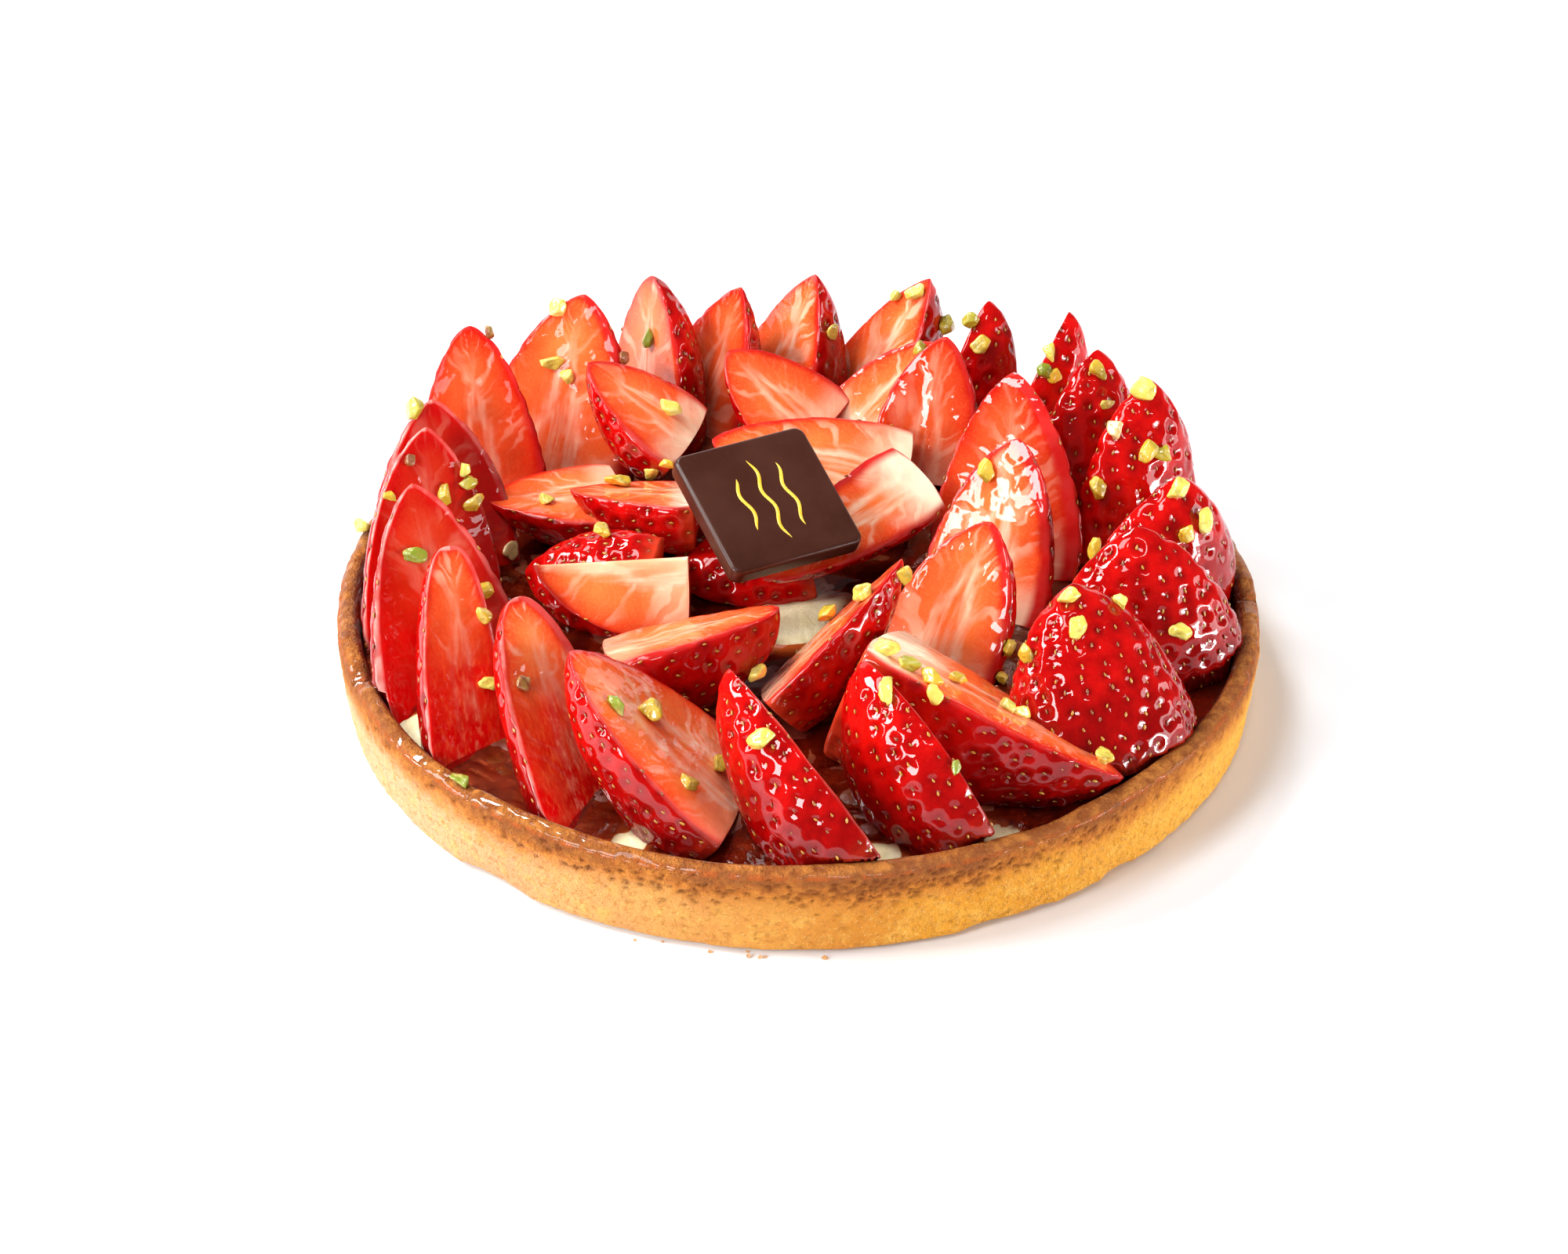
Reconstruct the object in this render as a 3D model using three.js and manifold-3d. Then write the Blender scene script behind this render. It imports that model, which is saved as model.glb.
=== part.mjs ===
// A round strawberry tart: a shortcrust case filled with pale cream, halved strawberries standing
// in a leaning ring round the edge, more halves and one wedge inside it, a square chocolate plaque
// on top and chopped pistachios scattered over the fruit.
// Millimetres, +Z up, origin at the middle of the underside. Angles are in degrees, measured
// round the tart from +X towards +Y; the front of the tart faces -Y.
import * as THREE from 'three';
import { mergeVertices } from 'three/addons/utils/BufferGeometryUtils.js';
import Module from 'manifold-3d';

const wasm = await Module();
wasm.setup();

// Crust
const RIM_RADIUS = 90;
const CRUST_HEIGHT = 20;
const WALL = 5;
const CRUST_FLOOR = 4;
const CRUST_SEGMENTS = 78;
const CRUST_GRAIN = 0.28;
const CRUST_SEED = 17;

// Foot of the crust: how far it is set in, and its rounding inwards and upwards
const FOOT_INSET = 1.5;
const FOOT_ROUND_IN = 1.6;
const FOOT_ROUND_UP = 1.2;

// Side of the crust from the foot up: [distance in from the outline, height]
const SIDE_PROFILE = [[1.2, 4], [0.7, 8.5], [0.25, 13], [0.05, 16.6]];

// Rim: [distance in from the outline, depth below the crest], then the same for the inner edge,
// whose distances go out from the inner wall
const RIM_OUTSIDE = [[0.5, 1], [1.9, 0]];
const RIM_INSIDE = [[1.3, 0.2], [0.25, 1.6]];

// Unevenness of the outline, the rim's height and the inner wall: height of the waves, and for each
// wave [waves in a full turn, start in radians]
const OUTLINE_WOBBLE = 0.35;
const OUTLINE_WAVES = [[4, 2.57], [6, 3.57]];
const RIM_WAVE = 0.35;
const RIM_WAVES = [[5, 0.6], [9, 2.1]];
const WALL_WAVE = 0.4;
const WALL_TURN = 40;

// Chips and cracks in the rim and the foot: [angle, half width, depth]
const RIM_CHIPS = [
  [199, 3, 1.2], [359, 4, 1.0], [226, 2.5, 0.6], [118, 4, 0.7], [62, 3, 0.6], [301, 5, 0.5],
];
const FOOT_CHIPS = [
  [229, 4, 1.3], [233, 3, 0.8], [293, 4, 1.0], [299, 3, 0.7], [312, 3, 0.9], [150, 5, 0.8], [40, 4, 1.0],
];

// Cream: level and swell of its top, which dips next to the crust, and the lengths of its waves
const CREAM_LEVEL = 16;
const CREAM_SWELL = 0.7;
const CREAM_DIP = 2.2;
const CREAM_EDGE = 16;
const WAVE_ALONG_X = 9;
const WAVE_ALONG_Y = 11;
const WAVE_ACROSS = 14;
const CREAM_SEGMENTS = 34;
const CREAM_RINGS = 6;

// Room left between two touching pieces
const GAP = 0.32;
const HEADROOM = 70;

// Berries
const ARC_STEPS = 8;
const LENGTH_STEPS = 8;
const TAPER = 2.2;
const POINTED = 0.72;
const SHOULDER = 0.06;
const SHOULDER_LENGTH = 0.2;
const HULL_BULGE = 0.03;

// Slow swell of the skin round and along each berry, and how it shifts from berry to berry
const SWELL_ROUND = 0.035;
const SWELL_ROUND_SHIFT = 2.4;
const SWELL_ALONG = 0.025;
const SWELL_ALONG_WAVES = 6;
const SWELL_ALONG_SHIFT = 1.7;

// Each berry: name, hull end [distance from the middle, angle, height], tip [the same],
// direction the cut face looks [angle, elevation], width, depth, and how blunt the tip is.
// The hull end and the tip are the two ends of the middle line of the cut face.
const BERRIES = [
  ['berry_rim_01', [69, 155, 12], [82, 143, 50], [266, 14], 27.5, 12, 0.62],
  ['berry_rim_02', [69, 139, 12], [77, 124, 49], [249, 12], 35, 13],
  ['berry_rim_03', [71, 117, 12], [79, 112, 48], [213, 10], 30, 13, 0.66],
  ['berry_rim_04', [71, 109, 12], [73, 99, 46], [216, 12], 28, 13, 0.8],
  ['berry_rim_05', [71, 97, 12], [74, 87, 48], [216, 10], 27, 18, 0.85],
  ['berry_rim_06', [71, 84, 12], [78, 69.5, 47.5], [213, 12], 24.5, 20, 0.85],
  ['berry_rim_07', [71, 63, 12], [77, 59.5, 46], [140, 8], 18, 13, 0.55],
  ['berry_rim_08', [72, 54, 12], [83, 48.3, 46], [160, 10], 24, 13, 0.6],
  ['berry_rim_09', [66, 33, 12], [75, 37, 47], [122, 10], 30, 13],
  ['berry_rim_10', [70, 19, 12], [77, 26, 47], [112, 12], 30, 10],
  ['berry_rim_11', [67, 1, 12], [73, 2, 44], [112, 30], 38, 13],
  ['berry_rim_12', [68, 345, 12], [65, 348, 43], [97, 33], 38, 13],
  ['berry_rim_13', [73, 321, 12], [60, 327, 43], [105, 30], 38, 14],
  ['berry_rim_14', [44, 291.5, 36], [86, 313, 21], [66, 64], 31, 26],
  ['berry_rim_15', [72, 294, 12], [56, 282, 41], [40, 22], 34, 15, 0.6],
  ['berry_rim_16', [74, 279, 12], [60, 258, 42], [35, 28], 33, 15, 0.62],
  ['berry_rim_17', [64, 260, 17], [69, 233.5, 43.5], [358, 52], 36, 18],
  ['berry_rim_18', [76, 242, 12], [64, 217, 44], [322, 26], 25, 12, 0.45],
  ['berry_rim_19', [79, 221, 12], [69, 201, 46], [298, 12], 17, 12, 0.36],
  ['berry_rim_20', [70, 207, 12], [73, 185, 48], [300, 8], 32, 12],
  ['berry_rim_21', [70, 188, 12], [73, 169, 48], [296, 8], 32, 12],
  ['berry_rim_22', [68, 173, 12], [76, 160, 47], [292, 8], 31, 12],
  ['berry_inner_01', [47, 117, 29], [64, 131, 42], [340, 50], 24, 15],
  ['berry_inner_02', [49, 85, 26], [63, 103, 37], [300, 50], 24, 12],
  ['berry_inner_03', [52, 77, 24], [66, 65, 40], [240, 38], 20, 10],
  ['berry_inner_04', [47, 59, 20], [60, 60, 46], [255, 22], 23, 11],
  ['berry_inner_05', [42, 16, 15], [55, 39, 48], [250, 22], 32, 12],
  ['berry_inner_06', [35, 356, 16], [44, 15, 47], [245, 24], 27, 10],
  ['berry_inner_07', [33, 320, 16], [38, 344, 42], [235, 30], 28, 11],
  ['berry_inner_08', [35, 260, 20], [30, 310, 42], [150, 45], 30, 12],
  ['berry_inner_09', [46, 220, 26], [23, 261, 31], [93, 66], 28, 17, 0.5],
  ['berry_wedge', [23, 198, 32], [51, 188, 30], [268, 35], 34, 17],
  ['berry_inner_10', [28, 185, 20], [53, 177, 22], [90, -40], 24, 9],
  ['berry_inner_11', [44, 144, 26], [65, 161, 27], [90, 85], 27, 12],
  ['berry_inner_12', [27, 136, 30], [49, 156, 30], [80, 70], 26, 12],
  ['berry_inner_13', [14, 95, 20], [25, 169, 19], [90, -70], 28, 8],
  ['berry_top_01', [37, 56, 26], [42, 114, 30], [270, 72], 28.5, 12],
  ['berry_top_02', [31.2, 40.3, 33], [10, 228, 27], [300, 62], 17.5, 12],
];

// Chopped pistachios on the fruit: which berry, on its cut face or its skin, share of the berry's
// length from the hull end, share of the half width (cut) or degrees round the skin, size
const NIBS = [
  ['berry_inner_01', 'skin', 0.1, 15, 4],
  ['berry_inner_01', 'skin', 0.05, 0, 3],
  ['berry_inner_01', 'cut', 0.25, -0.2, 4.5],
  ['berry_inner_03', 'cut', 0.9, 0.3, 3.5],
  ['berry_inner_06', 'cut', 0.8, 0.7, 5],
  ['berry_inner_07', 'skin', 0.35, 175, 4],
  ['berry_inner_07', 'skin', 0.15, 170, 3.5],
  ['berry_inner_08', 'cut', 0.75, -0.5, 5.5],
  ['berry_inner_08', 'skin', 0.95, 135, 4],
  ['berry_inner_08', 'cut', 0.5, 0.8, 5],
  ['berry_inner_09', 'skin', 0.75, 130, 5.5],
  ['berry_inner_10', 'skin', 0.45, 30, 4.5],
  ['berry_inner_11', 'cut', 0.55, 0.3, 4],
  ['berry_inner_12', 'cut', 0.65, -0.5, 5],
  ['berry_rim_01', 'skin', 0.95, 180, 3.5],
  ['berry_rim_02', 'cut', 0.9, 0.9, 4.5],
  ['berry_rim_02', 'cut', 0.65, 0.3, 4.5],
  ['berry_rim_02', 'cut', 0.6, 0, 4],
  ['berry_rim_02', 'skin', 0.75, 180, 3.5],
  ['berry_rim_03', 'cut', 0.65, -0.1, 4],
  ['berry_rim_05', 'skin', 0.75, 160, 4],
  ['berry_rim_06', 'cut', 0.9, 0.1, 5],
  ['berry_rim_06', 'cut', 0.8, 0.9, 3],
  ['berry_rim_06', 'skin', 0.8, 130, 5.5],
  ['berry_rim_07', 'skin', 0.9, 175, 4.5],
  ['berry_rim_07', 'skin', 0.8, 150, 4.5],
  ['berry_rim_08', 'skin', 0.8, 175, 3.5],
  ['berry_rim_08', 'skin', 0.7, 170, 4],
  ['berry_rim_08', 'skin', 0.7, 160, 4],
  ['berry_rim_09', 'skin', 0.9, 120, 4.5],
  ['berry_rim_09', 'skin', 0.75, 105, 3.5],
  ['berry_rim_10', 'skin', 0.75, 150, 4],
  ['berry_rim_10', 'skin', 0.95, 135, 5.5],
  ['berry_rim_10', 'skin', 0.65, 110, 5],
  ['berry_rim_10', 'skin', 0.65, 90, 4.5],
  ['berry_rim_10', 'skin', 0.45, 150, 5],
  ['berry_rim_11', 'skin', 0.55, 180, 4.5],
  ['berry_rim_11', 'skin', 0.95, 125, 5],
  ['berry_rim_11', 'skin', 0.75, 100, 4.5],
  ['berry_rim_11', 'skin', 0.8, 75, 5],
  ['berry_rim_12', 'skin', 0.45, 70, 4.5],
  ['berry_rim_13', 'skin', 0.95, 115, 4],
  ['berry_rim_13', 'skin', 0.8, 100, 4.5],
  ['berry_rim_13', 'skin', 0.7, 155, 4],
  ['berry_rim_13', 'skin', 0.85, 20, 3.5],
  ['berry_rim_14', 'cut', 0.05, -0.6, 6],
  ['berry_rim_14', 'cut', 0.15, -0.7, 4.5],
  ['berry_rim_14', 'cut', 0.25, -0.7, 5],
  ['berry_rim_14', 'cut', 0.3, -0.1, 4],
  ['berry_rim_14', 'skin', 0.3, 180, 4],
  ['berry_rim_14', 'cut', 0.5, 0.1, 4],
  ['berry_rim_14', 'cut', 0.55, 0.1, 4],
  ['berry_rim_14', 'cut', 0.9, 0.3, 5.5],
  ['berry_rim_15', 'skin', 0.85, 15, 5],
  ['berry_rim_15', 'skin', 0.4, 5, 3],
  ['berry_rim_16', 'skin', 0.7, 25, 5],
  ['berry_rim_17', 'cut', 0.7, 0.4, 4],
  ['berry_rim_17', 'cut', 0.55, -0.1, 5.5],
  ['berry_rim_17', 'cut', 0.15, -0.2, 5],
  ['berry_rim_17', 'cut', 0.25, 0.5, 4],
  ['berry_rim_18', 'cut', 0.65, 0.6, 4],
  ['berry_rim_19', 'cut', 0.7, -0.8, 4],
  ['berry_rim_19', 'cut', 0.4, -0.6, 4],
  ['berry_rim_20', 'cut', 0.7, 0.3, 4.5],
  ['berry_rim_20', 'cut', 0.5, -0.7, 4.5],
  ['berry_rim_21', 'cut', 0.85, 0.6, 3.5],
  ['berry_rim_21', 'cut', 0.8, -0.9, 4],
  ['berry_rim_21', 'cut', 0.75, -0.9, 4],
  ['berry_rim_21', 'cut', 0.65, -0.8, 4.5],
  ['berry_rim_21', 'cut', 0.7, -0.3, 4],
  ['berry_rim_21', 'cut', 0.7, 0.8, 3],
  ['berry_rim_22', 'skin', 0.95, 0, 5.5],
  ['berry_rim_22', 'cut', 0.2, -0.8, 4],
];

// Chopped pistachios on the rim: angle, distance in from the outside, size
const RIM_NIBS = [
  [166, 1.6, 5],
  [225, 2.6, 4.6],
  [28, 1.4, 4],
];

// Thickness and breadth of a pistachio piece as shares of its size, how deep it sits, and the share
// of a berry's length at which the skin runs level with the berry's middle line
const NIB_THICK = 0.62;
const NIB_BROAD = 0.78;
const NIB_SUNK = 0.1;
const RIM_NIB_SUNK = 0.3;
const LEVEL_SHARE = 0.35;
const NIB_UNEVEN = 0.3;
const NIB_SEED = 5;
const NIB_KEPT = 0.6;

// Chocolate plaque: middle of its top face, direction that face looks, turn, side and thickness
const PLAQUE_CENTRE = [-5.5, 2.5, 39];
const PLAQUE_FACES = [305, 65];
const PLAQUE_TURN = -6;
const PLAQUE_SIDE = 28.6;
const PLAQUE_THICKNESS = 4;
const PLAQUE_CORNER = 2.2;
const PLAQUE_BEVEL = 0.9;

const radians = THREE.MathUtils.degToRad;

// Point from a distance and an angle round the tart, at a height
function polar([distance, angle, height]) {
  const turn = radians(angle);
  return new THREE.Vector3(distance * Math.cos(turn), distance * Math.sin(turn), height);
}

// Unit vector from an angle round the tart and an elevation
function facing([angle, elevation]) {
  const rise = radians(elevation);
  return polar([Math.cos(rise), angle, Math.sin(rise)]);
}

// Solid from points and triangles, turned so that its faces point out
function solidFrom(points, triangles) {
  let volume = 0;
  for (const [a, b, c] of triangles) {
    volume += points[a].dot(new THREE.Vector3().crossVectors(points[b], points[c]));
  }
  const outward = volume > 0 ? triangles : triangles.map(([a, b, c]) => [a, c, b]);
  return new wasm.Manifold(new wasm.Mesh({
    numProp: 3,
    vertProperties: new Float32Array(points.flatMap((point) => point.toArray())),
    triVerts: new Uint32Array(outward.flat()),
  }));
}

// Solid from a three.js geometry
function solidFromGeometry(geometry) {
  const bare = geometry.clone();
  bare.deleteAttribute('normal');
  bare.deleteAttribute('uv');
  const merged = mergeVertices(bare, 1e-4);
  return new wasm.Manifold(new wasm.Mesh({
    numProp: 3,
    vertProperties: new Float32Array(merged.attributes.position.array),
    triVerts: new Uint32Array(merged.index.array),
  }));
}

// Solid of revolution from rings of points: each ring is a function of the angle that gives
// [radius, height]. The first and the last ring shrink to one point on the axis.
function turnedSolid(rings, segments) {
  const points = [];
  const triangles = [];
  for (const ring of rings.slice(1, -1)) {
    for (let i = 0; i < segments; i++) {
      const angle = (360 * i) / segments;
      const [radius, height] = ring(angle);
      points.push(polar([radius, angle, height]));
    }
  }
  const first = points.push(new THREE.Vector3(0, 0, rings[0](0)[1])) - 1;
  const last = points.push(new THREE.Vector3(0, 0, rings.at(-1)(0)[1])) - 1;
  const top = (rings.length - 3) * segments;
  for (let i = 0; i < segments; i++) {
    const next = (i + 1) % segments;
    triangles.push([first, next, i], [last, top + i, top + next]);
    for (let base = 0; base < top; base += segments) {
      triangles.push([base + i, base + next, base + segments + next]);
      triangles.push([base + i, base + segments + next, base + segments + i]);
    }
  }
  return solidFrom(points, triangles);
}

// Largest single body of a solid, without loose scraps
function largestBody(solid) {
  const bodies = solid.decompose();
  return bodies.reduce((best, body) => (body.volume() > best.volume() ? body : best));
}

// Seeded random numbers from 0 to 1
function randomFrom(seed) {
  let state = seed;
  return () => {
    state = (state + 0x6d2b79f5) | 0;
    let mixed = Math.imul(state ^ (state >>> 15), 1 | state);
    mixed = (mixed + Math.imul(mixed ^ (mixed >>> 7), 61 | mixed)) ^ mixed;
    return ((mixed ^ (mixed >>> 14)) >>> 0) / 4294967296;
  };
}

// Mean of a few waves round the tart, from -1 to 1
function waves(list, angle) {
  const heights = list.map(([count, start]) => Math.sin(count * radians(angle) + start));
  return heights.reduce((sum, height) => sum + height, 0) / list.length;
}

function outlineRadius(angle) {
  return RIM_RADIUS - OUTLINE_WOBBLE + OUTLINE_WOBBLE * waves(OUTLINE_WAVES, angle);
}

function rimWave(angle) {
  return RIM_WAVE * waves(RIM_WAVES, angle);
}

function chipDepth(chips, angle) {
  let depth = 0;
  for (const [middle, halfWidth, deepest] of chips) {
    const away = Math.abs(((angle - middle + 540) % 360) - 180) / halfWidth;
    depth += away < 1 ? deepest * (1 - away * away) : 0;
  }
  return depth;
}

// Height of the rim's crest and radius of the inner wall, which the cream and the fruit keep off
function crestHeight(angle) {
  return CRUST_HEIGHT - RIM_WAVE + rimWave(angle) - chipDepth(RIM_CHIPS, angle);
}

function innerRadius(angle) {
  return outlineRadius(angle) - WALL - WALL_WAVE * rimWave(angle + WALL_TURN);
}

// Crust: a shallow case with a rounded, slightly uneven rim and a crumbly foot
function crustSolid() {
  const random = randomFrom(CRUST_SEED);
  const rows = SIDE_PROFILE.length + RIM_OUTSIDE.length + RIM_INSIDE.length + 1;
  const grain = Array.from({ length: rows * CRUST_SEGMENTS }, () => CRUST_GRAIN * (random() - 0.5));
  const bump = (row, angle) => grain[row * CRUST_SEGMENTS + Math.round((angle * CRUST_SEGMENTS) / 360)];
  const foot = (angle) => outlineRadius(angle) - FOOT_INSET - chipDepth(FOOT_CHIPS, angle);

  const rings = [
    () => [0, 0],
    (angle) => [foot(angle) - FOOT_ROUND_IN, 0],
    (angle) => [foot(angle) + bump(0, angle), FOOT_ROUND_UP],
  ];
  SIDE_PROFILE.forEach(([inset, height], row) => {
    rings.push((angle) => [outlineRadius(angle) - inset + bump(row + 1, angle), height]);
  });
  RIM_OUTSIDE.forEach(([inset, below]) => {
    rings.push((angle) => [outlineRadius(angle) - inset, crestHeight(angle) - below]);
  });
  RIM_INSIDE.forEach(([outset, below], row) => {
    const level = (angle) => crestHeight(angle) - below + row * bump(SIDE_PROFILE.length + 1, angle);
    rings.push((angle) => [innerRadius(angle) + outset, level(angle)]);
  });
  rings.push((angle) => [innerRadius(angle), CREAM_LEVEL - CREAM_DIP]);
  rings.push((angle) => [innerRadius(angle), CRUST_FLOOR]);
  rings.push(() => [0, CRUST_FLOOR]);
  return turnedSolid(rings, CRUST_SEGMENTS);
}

// Cream: fills the case, with a softly uneven top that dips next to the crust
function creamTop(distance, angle) {
  const { x, y } = polar([distance, angle, 0]);
  const lumps = Math.sin(x / WAVE_ALONG_X + 1) * Math.cos(y / WAVE_ALONG_Y);
  const swell = lumps + Math.sin((x + y) / WAVE_ACROSS + 2);
  const edge = Math.max(0, 1 - (innerRadius(angle) - distance) / CREAM_EDGE);
  return CREAM_LEVEL + (CREAM_SWELL / 2) * swell - CREAM_DIP * edge * edge;
}

function creamSolid() {
  const wall = (height) => (angle) => [innerRadius(angle) - GAP, height];
  const rings = [() => [0, CRUST_FLOOR + GAP], wall(CRUST_FLOOR + GAP)];
  for (let ring = CREAM_RINGS; ring > 0; ring--) {
    rings.push((angle) => {
      const distance = ((innerRadius(angle) - GAP) * ring) / CREAM_RINGS;
      return [distance, creamTop(distance, angle)];
    });
  }
  rings.push(() => [0, creamTop(0, 0)]);
  return turnedSolid(rings, CREAM_SEGMENTS);
}

// Room above the cream and inside the rim, in which the fruit lies
function roomSolid() {
  const rings = [() => [0, creamTop(0, 0) + GAP]];
  for (let ring = 1; ring <= CREAM_RINGS; ring++) {
    rings.push((angle) => {
      const distance = ((innerRadius(angle) - GAP) * ring) / CREAM_RINGS;
      return [distance, creamTop(distance, angle) + GAP];
    });
  }
  const [[crestOutset], [edgeOutset, edgeBelow]] = RIM_INSIDE;
  rings.push((angle) => [innerRadius(angle) + edgeOutset - GAP, crestHeight(angle) - edgeBelow + GAP]);
  rings.push((angle) => [innerRadius(angle) + crestOutset - GAP, crestHeight(angle) + GAP]);
  rings.push((angle) => [RIM_RADIUS - OUTLINE_WOBBLE, crestHeight(angle) + GAP]);
  rings.push(() => [RIM_RADIUS - OUTLINE_WOBBLE, HEADROOM]);
  rings.push(() => [0, HEADROOM]);
  return turnedSolid(rings, CREAM_SEGMENTS);
}

// Half width of a berry at a share of its length from the hull end, as a share of its widest
function berryOutline(share, blunt) {
  const body = Math.pow(Math.max(0, 1 - Math.pow(share, TAPER)), blunt);
  const shoulder = 1 - SHOULDER * Math.pow(Math.max(0, 1 - share / SHOULDER_LENGTH), 2);
  return body * shoulder;
}

// Slow swell of the skin that makes each berry a little different
function berrySwell(number, share, around) {
  const round = SWELL_ROUND * Math.sin(2 * around + SWELL_ROUND_SHIFT * number);
  return 1 + round + SWELL_ALONG * Math.sin(SWELL_ALONG_WAVES * share + SWELL_ALONG_SHIFT * number);
}

// Directions and sizes of a berry: along its length, out of its cut face and across that face
function berryFrame(number) {
  const [name, hullEnd, tipEnd, cutFaces, width, depth, blunt = POINTED] = BERRIES[number];
  const along = polar(tipEnd).sub(polar(hullEnd)).normalize();
  const normal = facing(cutFaces);
  normal.addScaledVector(along, -normal.dot(along)).normalize();
  const across = new THREE.Vector3().crossVectors(normal, along);
  return { wedge: name === 'berry_wedge', along, normal, across, width, depth, blunt };
}

// One halved berry, or a quarter wedge with a second cut face, made larger all round by grow
function berrySolid(number, grow = 0) {
  const { wedge, along, normal, across, width, depth, blunt } = berryFrame(number);
  const [, hullEnd, tipEnd] = BERRIES[number];
  const start = polar(hullEnd).addScaledVector(along, -grow).addScaledVector(normal, grow);
  const length = polar(tipEnd).distanceTo(polar(hullEnd)) + 2 * grow;
  const span = wedge ? Math.PI / 2 : Math.PI;
  if (wedge) {
    start.addScaledVector(across, -grow);
  }

  const points = [];
  const columns = ARC_STEPS + (wedge ? 2 : 1);
  for (let row = 0; row < LENGTH_STEPS; row++) {
    const share = Math.sin((row / LENGTH_STEPS) * (Math.PI / 2));
    const middle = start.clone().addScaledVector(along, length * share);
    for (let step = 0; step <= ARC_STEPS; step++) {
      const around = (span * step) / ARC_STEPS;
      const size = berryOutline(share, blunt) * berrySwell(number, share, around);
      points.push(middle.clone()
        .addScaledVector(across, (width / 2 + grow * (wedge ? 2 : 1)) * size * Math.cos(around))
        .addScaledVector(normal, -(depth + 2 * grow) * size * Math.sin(around)));
    }
    if (wedge) {
      points.push(middle);
    }
  }
  const tip = points.push(start.clone().addScaledVector(along, length)) - 1;
  const hull = new THREE.Vector3();
  points.slice(0, columns).forEach((point) => hull.addScaledVector(point, 1 / columns));
  const cap = points.push(hull.addScaledVector(along, -HULL_BULGE * length)) - 1;

  const triangles = [];
  for (let step = 0; step < columns; step++) {
    const next = (step + 1) % columns;
    triangles.push([cap, next, step]);
    for (let row = 0; row < LENGTH_STEPS - 1; row++) {
      const low = row * columns;
      const high = low + columns;
      triangles.push([low + step, low + next, high + next], [low + step, high + next, high + step]);
    }
    const last = (LENGTH_STEPS - 1) * columns;
    triangles.push([last + step, last + next, tip]);
  }
  return solidFrom(points, triangles);
}

// Chocolate plaque: a thin square slab with rounded corners and edges
function plaqueSolid(grow = 0) {
  const half = PLAQUE_SIDE / 2 - PLAQUE_BEVEL + grow;
  const round = PLAQUE_CORNER - PLAQUE_BEVEL;
  const flat = half - round;
  const shape = new THREE.Shape();
  shape.absarc(flat, flat, round, 0, Math.PI / 2);
  shape.absarc(-flat, flat, round, Math.PI / 2, Math.PI);
  shape.absarc(-flat, -flat, round, Math.PI, 1.5 * Math.PI);
  shape.absarc(flat, -flat, round, 1.5 * Math.PI, 2 * Math.PI);
  const geometry = new THREE.ExtrudeGeometry(shape, {
    depth: PLAQUE_THICKNESS - 2 * PLAQUE_BEVEL + 2 * grow,
    bevelThickness: PLAQUE_BEVEL,
    bevelSize: PLAQUE_BEVEL,
    bevelSegments: 1,
    curveSegments: 3,
  });
  geometry.translate(0, 0, PLAQUE_BEVEL - PLAQUE_THICKNESS - grow);
  geometry.rotateZ(radians(PLAQUE_TURN));
  const [angle, elevation] = PLAQUE_FACES;
  geometry.rotateY(radians(90 - elevation));
  geometry.rotateZ(radians(angle));
  geometry.translate(...PLAQUE_CENTRE);
  return solidFromGeometry(geometry);
}

// Place of a pistachio piece on its berry, and the direction out of the berry there
function nibPlace(number, side, share, spot) {
  const { along, normal, across, width, depth, blunt } = berryFrame(number);
  const [, hullEnd, tipEnd] = BERRIES[number];
  const length = polar(tipEnd).distanceTo(polar(hullEnd));
  const place = polar(hullEnd).addScaledVector(along, length * share);
  const size = berryOutline(share, blunt);
  if (side === 'cut') {
    return [place.addScaledVector(across, (width / 2) * size * spot), normal];
  }
  const around = radians(spot);
  const swell = size * berrySwell(number, share, around);
  place.addScaledVector(across, (width / 2) * swell * Math.cos(around));
  place.addScaledVector(normal, -depth * swell * Math.sin(around));
  const out = across.clone().multiplyScalar(Math.cos(around) / width);
  out.addScaledVector(normal, -Math.sin(around) / (2 * depth));
  out.normalize().addScaledVector(along, share - LEVEL_SHARE);
  return [place, out.normalize()];
}

// One chopped pistachio piece: a small block with uneven corners, lying flat on what carries it
function nibSolid(place, out, size, random) {
  const geometry = new THREE.BoxGeometry(size, size * NIB_BROAD, size * NIB_THICK);
  geometry.deleteAttribute('normal');
  geometry.deleteAttribute('uv');
  const corners = mergeVertices(geometry);
  const position = corners.attributes.position;
  for (let i = 0; i < position.count; i++) {
    const [x, y, z] = [0, 1, 2].map((axis) => position.getComponent(i, axis) * (1 - NIB_UNEVEN * random()));
    position.setXYZ(i, x, y, z);
  }
  corners.rotateZ(2 * Math.PI * random());
  const lift = size * (NIB_THICK / 2 - NIB_SUNK);
  const lie = new THREE.Quaternion().setFromUnitVectors(new THREE.Vector3(0, 0, 1), out);
  corners.applyQuaternion(lie);
  corners.translate(...place.clone().addScaledVector(out, lift).toArray());
  return solidFromGeometry(corners);
}

// Fuses the pistachios that lie on the rim to the crust, clear of the fruit
function rimNibs(crust) {
  const random = randomFrom(NIB_SEED + 1);
  let whole = crust;
  for (const [angle, inset, size] of RIM_NIBS) {
    const place = polar([outlineRadius(angle) - inset, angle, crestHeight(angle) - RIM_NIB_SUNK]);
    let nib = nibSolid(place, new THREE.Vector3(0, 0, 1), size, random);
    for (let number = 0; number < BERRIES.length; number++) {
      nib = nib.subtract(berrySolid(number, GAP));
    }
    whole = whole.add(nib);
  }
  return largestBody(whole);
}

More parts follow.
